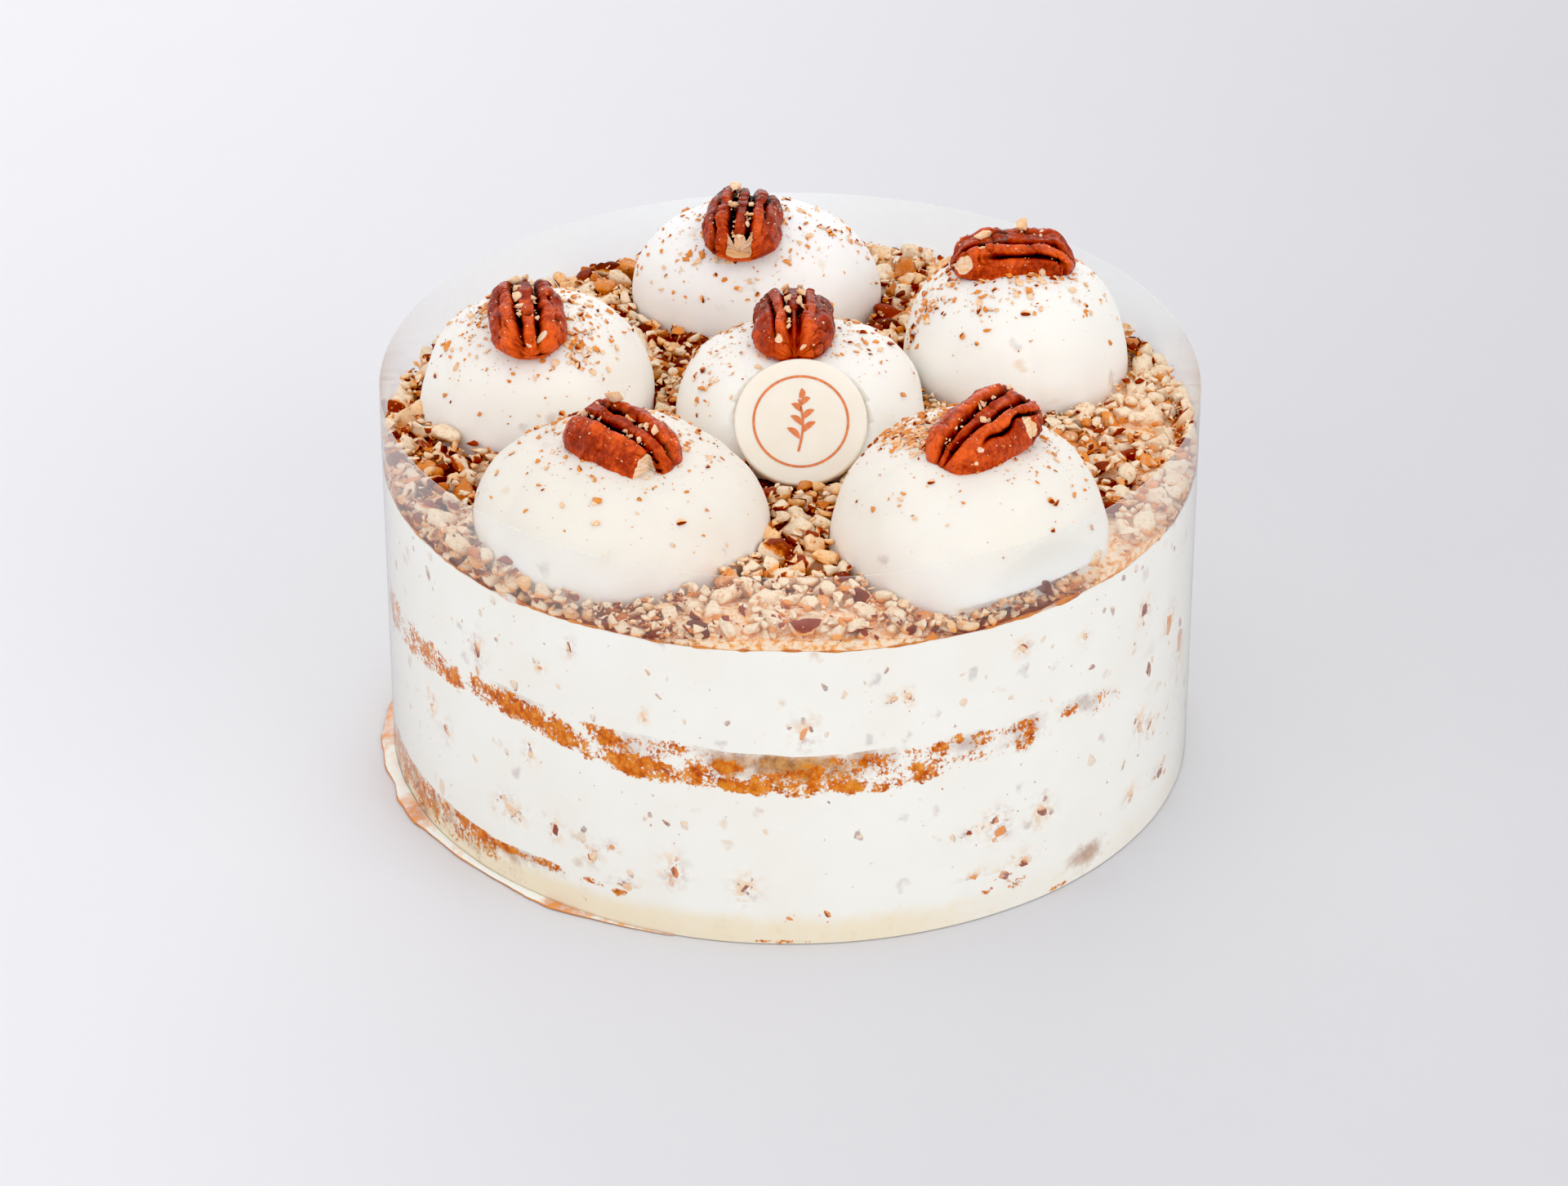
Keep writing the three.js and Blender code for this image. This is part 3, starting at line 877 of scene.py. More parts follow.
def dome_spots(place, plan):
    """Points and normals at places in plan, where 1 is the scoop's edge; far ones are left out."""
    reach = np.hypot(plan[:, 0], plan[:, 1])
    near = reach < SCOOP_PLAN_LIMIT
    turn = np.arctan2(plan[near, 1], plan[near, 0])
    rise = np.arccos(reach[near] ** (DOME_ROUNDNESS / 2))
    return dome_surface(place, turn, rise)


def disc_frame():
    """Centre of the disc's face, its upward slope and its outward normal."""
    low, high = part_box("chocolate_disc")
    lean = math.radians(DISC_LEAN_DEG)
    up = np.array([0, math.cos(lean), math.sin(lean)])
    normal = np.array([0, -math.sin(lean), math.cos(lean)])
    middle = np.array((low + high) / 2)
    return middle + normal * DISC_THICKNESS / 2, up, normal


DISC_RADIUS = (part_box("chocolate_disc")[1].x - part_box("chocolate_disc")[0].x) / 2


def from_disc(points):
    """How far points lie ahead of the disc's face, and how far aside of its middle."""
    centre, _, normal = disc_frame()
    offset = points - centre
    ahead = offset @ normal
    return ahead, np.linalg.norm(offset - np.outer(ahead, normal), axis=1)


def press_seat(points):
    """Pushes points back to a plane just inside the back of the disc."""
    _, _, normal = disc_frame()
    ahead, aside = from_disc(points)
    ahead = ahead + DISC_SEAT_DEPTH
    inside = (aside < DISC_RADIUS + DISC_SEAT_MARGIN) & (ahead > 0)
    points[inside] -= np.outer(ahead[inside], normal)
    return points


def make_domes():
    sides = 132
    rings = 52
    turn, rise = np.meshgrid(full_turn(sides), np.linspace(0, np.pi / 2, rings, endpoint=False))
    for place in PLACES:
        dome = DOMES[place]
        points, _ = dome_surface(place, turn.ravel(), rise.ravel())
        top, _ = dome_surface(place, np.zeros(1), np.array([np.pi / 2]))
        if place == "centre":
            points = press_seat(points)
        shape = capped(points, sides, [dome.x, dome.y, dome.base], top)
        # Painted light: the lower part of each scoop is painted paler, to offset the shade at its foot
        lower = 1 - step_up((shape[0][:, 2] - dome.base) / dome.h, 0.05, 0.6)
        painted_light = SCOOP_PAINTED_LIGHT[place] + (1 - SCOOP_PAINTED_LIGHT[place]) * 0.9 * lower
        name = "dome_" + place
        add_piece(name + "_look", shape, DOME_CREAM, (name,), {"painted_light": painted_light}, 60)


# Pecan halves

def pecan_outline(place, along):
    """Half width and height of a kernel along its length."""
    width = PECANS[place].width * MM / 2 * (1 - np.abs(along) ** 3.2) ** 0.46
    height = PECAN_RISE * (1 - np.abs(along) ** 3.0) ** 0.44
    return width, height


def groove_place(place, along):
    """Distance from the crest to the middle of each deep groove."""
    first, last = (reach * MM for reach in PECANS[place].grooves)
    return first + (last - first) * (along + 1) / 2


def bare_spots(place, along, degrees, ragged):
    """1 where the skin is off."""
    bare = np.zeros(len(along))
    for centre, angle, reach, wide in PECAN_BARE[place]:
        far = ((along - centre) / reach) ** 2 + ((degrees - angle) / wide) ** 2
        bare = np.maximum(bare, step_up(1.3 + 0.7 * ragged - far, 0.0, 0.5))
    return bare


def pecan_surface(place, along, degrees):
    """Points of a kernel's upper side, and for each how deep in a furrow, how bare and how high it is."""
    seed = PECAN_SEED + SEED_STEP * PLACES.index(place)
    half = PECANS[place].length * MM / 2
    width, height = pecan_outline(place, along)
    angle = np.radians(degrees)
    across = np.sign(degrees) * np.abs(np.sin(angle)) ** PECAN_SQUARENESS
    up = np.maximum(np.cos(angle), 0) ** PECAN_SQUARENESS
    aside = np.abs(across) * width
    spread = columns(along * half, degrees / 90 * PECAN_GIRTH, np.full(len(along), seed * MM))
    lines = spread * np.array([0.75, 0.40, 1.0])
    wander = smooth_noise(spread, 5 * MM, seed)
    ragged = smooth_noise(spread, 1.6 * MM, seed + 4)

    centre = groove_place(place, along) + 0.45 * MM * wander
    breadth = (0.82 + 0.3 * smooth_noise(spread, 4 * MM, seed + 7)) * MM
    groove = hill(aside, centre, breadth) * (0.3 + 0.7 * (1 - np.abs(along) ** 6))
    groove *= 0.8 + 0.35 * smooth_noise(spread, 6 * MM, seed + 8)
    shift = np.where(degrees > 0, 0.2, -0.15)
    partway = step_up(along + shift, -0.85, -0.35) * (1 - step_up(along + shift, 0.4, 0.9))
    strength = np.where(degrees > 0, PECANS[place].furrows[1], PECANS[place].furrows[0])
    furrow = hill(aside, centre + (4.2 + 0.6 * wander) * MM, 0.5 * MM) * partway * strength
    crest = hill(aside, centre + 2.3 * MM, 1.7 * MM)
    crease = (1 - np.abs(smooth_noise(lines, 1.5 * MM, seed + 2))) ** 7
    crease *= step_up(smooth_noise(spread, 4 * MM, seed + 3), -0.4, 0.4)
    bare = bare_spots(place, along, degrees, ragged)
    deep = np.clip((1.0 + 0.35 * ragged) * groove + 0.75 * furrow + 0.5 * crease, 0, 1)

    relief = (
        -GROOVE_DEPTH * groove - FURROW_DEPTH * furrow + CREST_RISE * crest
        - MIDDLE_DIP * hill(aside, 0, 1.6 * MM)
        - END_DIP * hill(aside, 0, 2.4 * MM) * step_up(np.abs(along), 0.74, 0.98)
        - CREASE_DEPTH * crease - BARE_DEPTH * bare
        + LUMP_RISE * smooth_noise(spread, 3.4 * MM, seed + 5)
        + WRINKLE_RISE * smooth_noise(lines, 0.7 * MM, seed + 6)
    )
    relief *= MM * np.minimum(1, 3.0 * (1 - np.abs(along)) ** 0.5)
    endward = 0.8 * np.sign(along) * np.abs(along) ** 7
    outward = unit(columns(endward, np.sin(angle), np.cos(angle)))
    points = columns(along * half, across * width, up * height) + outward * relief[:, None]
    if place in PECAN_CUT:
        end, cut_side, limit = PECAN_CUT[place]
        chosen = aside < 3.4 * MM if cut_side == 0 else across * cut_side * width > 3 * MM
        stop = half * limit + 0.35 * MM * ragged
        beyond = chosen & (end * points[:, 0] > stop)
        points[beyond, 0] = end * stop[beyond]
        bare[beyond] = 1
        deep[beyond] = 0
    return points, {"deep": deep, "bare": bare, "crest": crest}


def pecan_mesh(place):
    """A whole kernel about its own middle, with the values that its material needs."""
    sections = 140
    top_sides = 132
    under_sides = 14
    along_line = -np.cos(np.linspace(0.03, np.pi - 0.03, sections))
    along, degrees = np.meshgrid(along_line, np.linspace(-90, 90, top_sides), indexing="ij")
    top, values = pecan_surface(place, along.ravel(), degrees.ravel())
    values["run"] = along.ravel() * (PECANS[place].length * MM) / 2 + PLACES.index(place) * 50 * MM
    values["girth"] = degrees.ravel() / 90 * PECAN_GIRTH
    top = top.reshape(sections, top_sides, 3)
    share = np.linspace(1, -1, under_sides + 2)[1:-1]
    width, height = pecan_outline(place, along_line)
    under = np.zeros((sections, under_sides, 3))
    under[..., 0] = top[:, -1:, 0]
    under[..., 1] = width[:, None] * share
    under[..., 2] = -PECAN_BELLY * (height / PECAN_RISE)[:, None] * (1 - np.abs(share) ** 3)
    rings = np.concatenate([top, under], axis=1)
    for key, numbers in values.items():
        numbers = numbers.reshape(sections, top_sides)
        numbers = np.hstack([numbers, np.repeat(numbers[:, -1:], under_sides, axis=1)])
        values[key] = np.append(numbers.ravel(), (numbers[0].mean(), numbers[-1].mean()))
    ends = rings[0].mean(0), rings[-1].mean(0)
    points, faces = capped(rings.reshape(-1, 3), top_sides + under_sides, *ends, inward=True)
    return points, faces, values


def pecan_turn(place):
    tilt = Matrix.Rotation(math.radians(PECANS[place].tilt), 3, "X")
    return np.array(tilt @ Matrix.Rotation(math.radians(PECANS[place].turn), 3, "Z"))


def make_pecans():
    """Puts a kernel on each scoop and gives how far each was moved."""
    moves = {}
    for place in PLACES:
        points, faces, values = pecan_mesh(place)
        low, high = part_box("pecan_" + place)
        vertices = points @ pecan_turn(place).T
        move = np.array((low + high) / 2) - (vertices.max(0) + vertices.min(0)) / 2
        move[2] = high.z - PECANS[place].sink * MM - vertices[:, 2].max()
        moves[place] = move
        vertices = vertices + move
        # Painted light: the skin is painted lighter from the back of each kernel to its front
        near, far = vertices[:, 1].min(), vertices[:, 1].max()
        behind, ahead = PECANS[place].glow
        values["glow"] = ahead + (behind - ahead) * step_up(vertices[:, 1], near, far)
        if place == "centre":
            vertices = press_seat(vertices)
        name = "pecan_" + place
        add_piece(name + "_look", (vertices, faces), PECAN, (name,), values)
    return moves


# Loose bits

CHUNK_SIDES = np.array([1.0, 0.85, 0.75])
BIT_CREASE_DEG = 58
AMBER_STRENGTH = 0.55


def chunk_shapes(count, corners, blockiness, splits, rough, seed):
    """Chunks two units across, with the share of skin at each corner."""
    random = np.random.default_rng(seed)
    shapes = []
    for number in range(count):
        cloud = random.uniform(-1, 1, (corners, 3))
        cloud = np.sign(cloud) * np.abs(cloud) ** blockiness * CHUNK_SIDES
        build = bmesh.new()
        for corner in cloud:
            build.verts.new(corner)
        bmesh.ops.convex_hull(build, input=build.verts)
        loose = [corner for corner in build.verts if not corner.link_faces]
        bmesh.ops.delete(build, geom=loose, context="VERTS")
        bmesh.ops.triangulate(build, faces=build.faces)
        for _ in range(splits):
            bmesh.ops.subdivide_edges(build, edges=build.edges, cuts=1, use_grid_fill=True)
            bmesh.ops.smooth_vert(
                build, verts=build.verts, factor=0.4, use_axis_x=True, use_axis_y=True, use_axis_z=True,
            )
        bmesh.ops.triangulate(build, faces=build.faces)
        bmesh.ops.recalc_face_normals(build, faces=build.faces)
        build.normal_update()
        build.verts.index_update()
        points = np.array([corner.co for corner in build.verts])
        normals = np.array([corner.normal for corner in build.verts])
        faces = np.array([[corner.index for corner in face.verts] for face in build.faces])
        build.free()
        facing = unit(random.normal(size=3))
        skin = np.clip(0.5 + 0.9 * (normals @ facing - 0.3), 0, 1)
        dents = smooth_noise(points + 9.7 * number, 0.55, seed) + 0.5 * smooth_noise(points, 0.25, seed + 1)
        points = points + normals * (rough * dents)[:, None]
        middle = (points.max(0) + points.min(0)) / 2
        points = (points - middle) / (points.max(0) - points.min(0)) * 2
        shapes.append((points, faces, skin))
    return shapes


def scatter(name, shapes, places, turns, sizes, looks, inside=None, material=NUT):
    """Joins one chunk per place into a single mesh, kept inside a radius if one is given."""
    kinds = np.arange(len(places)) % len(shapes)
    all_points, all_faces = [], []
    values = {key: [] for key in looks}
    start = 0
    for kind, (points, faces, skin) in enumerate(shapes):
        chosen = np.flatnonzero(kinds == kind)
        count = len(points)
        scaled = points[None] * sizes[chosen][:, None, :] / 2
        moved = np.einsum("nij,nkj->nki", turns[chosen], scaled) + places[chosen][:, None, :]
        offsets = start + count * np.arange(len(chosen))
        all_points.append(moved.reshape(-1, 3))
        all_faces.append((faces[None] + offsets[:, None, None]).reshape(-1, 3))
        # How far below its middle each corner lies, which the material paints as warm shade
        sunk = (places[chosen][:, None, 2] - moved[..., 2]) / sizes[chosen][:, None, 2] * 2
        for key, numbers in looks.items():
            shares = {"skin": skin, "shade_below": sunk}.get(key, np.ones(count))
            values[key].append((numbers[chosen][:, None] * shares).ravel())
        start += count * len(chosen)
    vertices = np.vstack(all_points)
    if inside:
        keep_inside(vertices, inside)
    values = {key: np.concatenate(numbers) for key, numbers in values.items()}
    shape = vertices, np.vstack(all_faces).tolist()
    add_piece(name, shape, material, (), values, BIT_CREASE_DEG)


def random_looks(random, count, skin_share, skin_strength, amber_share):
    return {
        "tone": random.random(count),
        "skin": skin_strength * (random.random(count) < skin_share),
        "amber": AMBER_STRENGTH * (random.random(count) < amber_share),
    }


def near_level_turns(random, spins, lean):
    """Rotations about the upright, tipped a little at random."""
    count = len(spins)
    upright = np.tile([[0.0, 0.0, 1.0]], (count, 1))
    tipped = unit(upright + lean * random.normal(size=(count, 3)) * np.array([1.0, 1.0, 0.0]))
    flat = turns_about_normals(upright, spins)
    tip = turns_about_normals(tipped, np.zeros(count))
    level = turns_about_normals(upright, np.zeros(count))
    return tip @ np.transpose(level, (0, 2, 1)) @ flat


# Heap of chopped nuts

# Banks of nuts between the scoops: place, reach, rise
HEAP_BANKS = ((-24, 46, 11, 4.5), (27, 62, 10, 2.5), (33, 12, 8, 1.5), (-28, -14, 8, 1.5), (2, -52, 12, 1))
# Where the nuts lie low, in front of the front scoops: place, reach along X and Y
HEAP_HOLLOWS = ((-38, -90, 26, 10), (47, -90, 26, 10))
# Where the nuts are paler and lie in cream: place, reach along X and Y
HEAP_PALE = ((2, -92, 28, 15), (84, 0, 14, 34), (76, -55, 18, 16))
# Where more of the nuts show their skin: place, reach along X and Y
HEAP_DARK = (
    (-88, -14, 12, 20), (82, -14, 10, 10), (-19, -91, 8, 5), (6, -95, 12, 3), (26, -94, 8, 3),
    (-24, 46, 9, 6), (18, 62, 9, 7),
)
# Larger pieces in the heap: place, length, width, thickness, turn in degrees, tone, skin, amber
HEAP_PIECES = (
    (-62, -67, 14, 7.5, 7, -52, 0.7, 1.6, 0), (-20.5, -92, 9.5, 7, 6, 10, 0.2, 2, 0.3),
    (-15.5, -90.5, 5.5, 4.5, 4, 30, 0.8, 0, 1), (-20, -79, 5, 3, 3, 20, 0.2, 2, 0),
    (-12, -85, 7.5, 5, 3, 15, 0.9, 0, 0.2), (13, -92, 6.5, 5, 4, 40, 1, 0, 0),
    (15.6, -85, 5.5, 4.5, 4, -20, 0.7, 0.4, 1), (20, -88, 6, 5, 4.5, 60, 0.9, 0.5, 0.3),
    (33, -95, 7, 3.5, 3, 5, 0.6, 0.3, 1), (70, -68, 6.5, 4.5, 4, 50, 1, 0.2, 0),
    (59, -79, 4.5, 3.5, 4, 20, 0.3, 2, 0), (-83, -25, 8, 6, 5, 70, 1, 0.3, 0),
    (-74, -23, 7, 6, 5.5, 20, 1, 0.4, 0), (-91, -5, 7.5, 6, 5, 80, 0.2, 2, 0),
    (-84, -8, 7.5, 5.5, 5, 30, 0.9, 0.4, 0.2), (83, -20, 7, 5, 4.5, 120, 0.2, 2, 0),
    (86, -2, 6, 5, 4, 60, 0.5, 1.6, 0.4), (16, 60, 6, 4.5, 4.5, 15, 0.4, 2, 0.2),
    (-33, 49, 5.5, 4, 4, 60, 0.3, 2, 0), (-20, 43, 6, 4.5, 4.5, 25, 0.4, 1.8, 0.2),
    (14, 45, 8.5, 5, 3.5, -10, 0.7, 0, 0.8), (-1, -57, 6, 4.5, 4, 75, 0.2, 2, 0),
    (5, -70, 7, 5, 4.5, 35, 1, 0.5, 0), (-6, -66, 6.5, 5, 4.5, 100, 0.9, 0.6, 0),
    (80, -15, 6, 4.5, 4, 40, 0.1, 2, 0.3), (85, -9, 5.5, 4.5, 4, 100, 0.3, 1.8, 0.3),
    (-11, -93, 5, 4.5, 4, 70, 0.3, 1.8, 0), (7, -93.5, 5, 4, 4, 20, 0.5, 1.6, 0.2),
)
# Kinds of bit that fill the heap: name, chunks in the order of chunk_shapes, count, smallest and largest,
# cells tried, sinking, share with skin, share with syrup, inner radius
HEAP_KINDS = (
    ("nut_rim", (16, 12, 0.6, 1, 0.16, 80), 420, (2.0, 5.5), 6, 0.6, 0.35, 0.10, HEAP_RIM_MM),
    ("nut_chunks", (20, 13, 0.55, 2, 0.22, 81), 500, (4.6, 9.0), 10, 0.35, 0.30, 0.06, 0),
    ("nut_bits", (20, 12, 0.6, 1, 0.18, 82), 900, (2.0, 4.2), 8, 0.4, 0.45, 0.12, 0),
    ("nut_grit", (16, 9, 0.7, 0, 0.0, 83), 2000, (0.7, 1.9), 6, 0.3, 0.45, 0.25, 0),
)
HEAP_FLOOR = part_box("nut_topping")[0].z
HEAP_DUST = 1500
# In the pale places: share of bits left out, share without skin, share with syrup, lift of the tone
PALE_THINNING = 0.45
PALE_SKINLESS = 0.85
PALE_AMBER = 0.06
PALE_TONE = 0.7
# In the dark places: share of bits with skin, and its strength
DARK_SHARE = 0.6
DARK_SKIN = 1.2
HEAP_SEED = 9
CORE_SEED = 71


def in_spots(flat, spots):
    """1 in the middle of the given spots, falling to 0 round them."""
    share = np.zeros(len(flat))
    for x, y, wide, deep in spots:
        share = np.maximum(share, hill(flat[:, 0], x * MM, wide * MM) * hill(flat[:, 1], y * MM, deep * MM))
    return share


def paleness(flat):
    """1 where the nuts lie in cream."""
    return in_spots(flat, HEAP_PALE)


def heap_lift(flat):
    """How high the core stands, less towards the collar."""
    reach = np.hypot(flat[:, 0], flat[:, 1])
    middle = 1 - step_up(reach, *HEAP_SLOPE)
    rise = HEAP_CORE + 0.5 * MM * smooth_noise(flat, 6 * MM, CORE_SEED)
    for x, y, spread, height in HEAP_BANKS:
        away = np.hypot(flat[:, 0] - x * MM, flat[:, 1] - y * MM)
        rise += height * MM * hill(away, 0, spread * MM)
    return HEAP_LEAST + middle * rise + HEAP_CREAM * paleness(flat)


def heap_ceiling(middle):
    """The highest that nuts reach at a place."""
    return HEAP_TOP - HEAP_HOLLOW_DEPTH * in_spots(middle[None], HEAP_HOLLOWS)[0]


def cell_places(cells):
    return HEAP_ORIGIN + HEAP_CELL * (cells + 0.5)


def heap_ground():
    """Height that bits sink to on a square grid, and where the grid is free of scoops."""
    line = cell_places(np.arange(HEAP_CELLS))
    x, y = np.meshgrid(line, line, indexing="ij")
    flat = columns(x.ravel(), y.ravel(), np.zeros(x.size))
    core = (HEAP_FLOOR + heap_lift(flat) - HEAP_SUNK * paleness(flat)).reshape(x.shape)
    height = core
    out = np.hypot(x, y)
    free = out < HEAP_EDGE
    for dome in DOMES.values():
        reach = np.hypot((x - dome.x) / dome.a, (y - dome.y) / dome.b)
        rise = dome.base + dome.h * np.maximum(1 - reach ** DOME_ROUNDNESS, 0) ** (1 / DOME_ROUNDNESS)
        height = np.where(reach < 1, rise, height)
        free &= reach > 1
    rim = (out > HEAP_RIM_MM * MM) & (out < HEAP_EDGE)
    height = np.where(rim, core, height)
    free |= rim
    foot, _, _ = disc_frame()
    apart = DISC_FREE_HALF
    free &= (np.abs(x - foot[0]) > 0.8 * DISC_RADIUS) | (np.abs(y - foot[1] + apart) > apart)
    return height, free


def underside(half, spin):
    """How far a flattened ball's surface lies from its middle over the grid cells that it covers."""
    reach = int(half[0] / HEAP_CELL) + 1
    offsets = np.arange(-reach, reach + 1)
    grid_x, grid_y = np.meshgrid(offsets, offsets, indexing="ij")
    u = (grid_x * math.cos(spin) + grid_y * math.sin(spin)) * HEAP_CELL / half[0]
    v = (grid_y * math.cos(spin) - grid_x * math.sin(spin)) * HEAP_CELL / half[1]
    left = 1 - u * u - v * v
    return reach, left > 0, half[2] * np.sqrt(np.maximum(left, 0))


def around(grid, cell, reach):
    low = cell - reach
    return grid[low[0]:low[0] + 2 * reach + 1, low[1]:low[1] + 2 * reach + 1]


def settle(height, cell, shape, sink):
    """Where a bit comes to rest over a cell, and the part of the grid that it covers."""
    reach, under, dip = shape
    patch = around(height, cell, reach)
    return (patch + dip)[under].max() - sink, patch


def cover(patch, shape, rest):
    """Raises the grid to the top of a bit at rest."""
    _, under, dip = shape
    patch[under] = np.maximum(patch[under], (rest + dip)[under])


def drop_bits(height, cells, count, spans, tries, sink):
    """Drops flattened bits, the largest first, each at the lowest of a few tried cells."""
    random = np.random.default_rng(count)
    smallest, largest = (size * MM for size in spans)
    lengths = np.sort(smallest + (largest - smallest) * random.random(count) ** 1.5)[::-1]
    places, sizes, spins = [], [], []
    for length in lengths:
        half = length / 2 * np.array([1.0, random.uniform(0.65, 0.95), random.uniform(0.5, 0.8)])
        spin = random.uniform(0, np.pi)
        shape = underside(half, spin)
        best = None
        for cell in cells[random.integers(len(cells), size=tries)]:
            middle = cell_places(cell)
            if np.hypot(*middle) + 0.5 * half[1] > HEAP_EDGE:
                continue
            rest, patch = settle(height, cell, shape, sink * half[2])
            spare = heap_ceiling(middle) - rest - half[2]
            if spare > 0 and (best is None or rest < best[0]):
                best = (rest, middle, patch)
        if best is None:
            continue
        rest, middle, patch = best
        cover(patch, shape, rest)
        places.append([*middle, rest])
        sizes.append(2 * half)
        spins.append(spin)
    return np.array(places), np.array(sizes), np.array(spins)


def make_heap_core():
    sides = 220
    rings = 60
    turn, reach = np.meshgrid(full_turn(sides), np.linspace(0.02, 1, rings))
    radius = HEAP_EDGE * reach.ravel()
    points = columns(radius * np.cos(turn.ravel()), radius * np.sin(turn.ravel()), 0 * radius)
    foot = points[-sides:] + np.array([0, 0, HEAP_FLOOR])
    points[:, 2] = HEAP_FLOOR + heap_lift(points) + 0.25 * MM * smooth_noise(points, 1.5 * MM, CORE_SEED + 1)
    ends = [0, 0, HEAP_FLOOR + HEAP_CORE], [0, 0, HEAP_FLOOR]
    shape = capped(np.vstack([points, foot]), sides, *ends, inward=True)
    values = {"pale": paleness(shape[0])}
    add_piece("nut_bed", shape, HEAP_GROUND, ("nut_topping",), values, 60)


def make_heap_pieces(height, free, random):
    """Lays the larger pieces on the bare core, before the rest of the heap, and keeps it off them."""
    table = np.array(HEAP_PIECES)
    sizes = table[:, 2:5] * MM
    spins = np.radians(table[:, 5])
    places = []
    for middle, size, spin in zip(table[:, :2] * MM, sizes, spins):
        cell = ((middle - HEAP_ORIGIN) / HEAP_CELL).astype(int)
        shape = underside(size / 2, spin)
        rest, patch = settle(height, cell, shape, 0.5 * size[2])
        rest = min(rest, heap_ceiling(middle) + HEAP_PROUD - size[2] / 2)
        cover(patch, shape, rest)
        around(free, cell, shape[0])[shape[1]] = False
        places.append([*middle, rest])
    looks = {"tone": table[:, 6], "skin": table[:, 7], "amber": table[:, 8], "shade_below": np.ones(len(table))}
    turns = near_level_turns(random, spins, lean=0.2)
    shapes = chunk_shapes(len(table), corners=14, blockiness=0.7, splits=2, rough=0.14, seed=85)
    scatter("nut_pieces", shapes, np.array(places), turns, sizes, looks, HEAP_EDGE)


def heap_looks(random, places, skin_share, amber_share):
    """Looks of the bits: paler and with less skin in cream, darker in the dark spots, with painted shade
    below.
    """
    count = len(places)
    looks = random_looks(random, count, skin_share, skin_strength=1.0, amber_share=amber_share)
    pale = paleness(places)
    looks["skin"] *= random.random(count) > PALE_SKINLESS * pale
    dark = random.random(count) < DARK_SHARE * in_spots(places, HEAP_DARK)
    looks["skin"] = np.where(dark, DARK_SKIN, looks["skin"])
    looks["amber"] = np.maximum(looks["amber"], 0.5 * (random.random(count) < PALE_AMBER * pale))
    looks["tone"] += PALE_TONE * pale * (1 - looks["tone"])
    looks["shade_below"] = np.ones(count)
    return looks


def make_heap_dust(height, cells, random):
    dust = cells[random.integers(len(cells), size=HEAP_DUST)]
    flat = HEAP_ORIGIN + HEAP_CELL * (dust + random.random(dust.shape))
    places = np.column_stack([flat, height[dust[:, 0], dust[:, 1]]])
    spans = (0.3 + 0.7 * random.random(HEAP_DUST) ** 2) * MM
    sizes = spans[:, None] * np.array([[1.0, 0.8, 0.6]])
    turns = near_level_turns(random, random.uniform(0, np.pi, HEAP_DUST), lean=0.5)
    looks = random_looks(random, HEAP_DUST, skin_share=0.2, skin_strength=1.5, amber_share=0.0)
    shapes = chunk_shapes(8, corners=8, blockiness=0.8, splits=0, rough=0.0, seed=84)
    scatter("nut_dust", shapes, places, turns, sizes, looks, HEAP_EDGE)


def make_heap():
    make_heap_core()
    height, free = heap_ground()
    random = np.random.default_rng(HEAP_SEED)
    make_heap_pieces(height, free, random)
    cells = np.argwhere(free)
    cells = cells[random.random(len(cells)) > PALE_THINNING * paleness(cell_places(cells))]
    out = np.hypot(*cell_places(cells.T))
    for name, chunks, count, spans, tries, sink, skin_share, amber_share, inner in HEAP_KINDS:
        places, sizes, spins = drop_bits(height, cells[out > inner * MM], count, spans, tries, sink)
        turns = near_level_turns(random, spins, lean=0.35)
        looks = heap_looks(random, places, skin_share, amber_share)
        scatter(name, chunk_shapes(*chunks), places, turns, sizes, looks, HEAP_EDGE)
    make_heap_dust(height, cells, random)


# Crumb on the scoops and on the kernels

# Clusters on the scoops: place in plan, spread, count
CRUMB_CLUSTERS = {
    "front_left": ((-0.1, 0.62, 0.22, 60), (-0.45, 0.55, 0.07, 40), (0.25, 0.55, 0.12, 40)),
    "front_right": ((-0.38, 0.04, 0.1, 260), (-0.5, 0.25, 0.13, 190), (-0.2, 0.5, 0.2, 120)),
    "left": ((0.34, -0.5, 0.09, 120), (-0.45, 0.05, 0.16, 90), (0.3, 0.1, 0.25, 60)),
    "back": ((0.72, -0.1, 0.12, 40), (-0.4, -0.55, 0.2, 50)),
    "right": (
        (-0.45, 0.1, 0.25, 130), (0.15, -0.15, 0.2, 120), (-0.2, -0.3, 0.2, 60), (-0.78, -0.25, 0.09, 90),
    ),
    "centre": ((-0.72, -0.3, 0.09, 30), (-0.6, -0.1, 0.16, 20), (0.6, 0.5, 0.15, 40)),
}
# Largest size in the clusters, and how rare large crumb is
CLUSTER_CRUMB = (2.2, 2.6)
# The same, after spread and count, for the crumb round the kernels and all over
KERNEL_CRUMB = (0.36, 560, 1.5, 3.5)
LOOSE_CRUMB = (0.55, 170, 2.4, 3.5)
KERNEL_CRUMB_BACK = 0.1
CRUMB_LEAST = 0.3
FLAKE_SPAN = 1.2 * MM
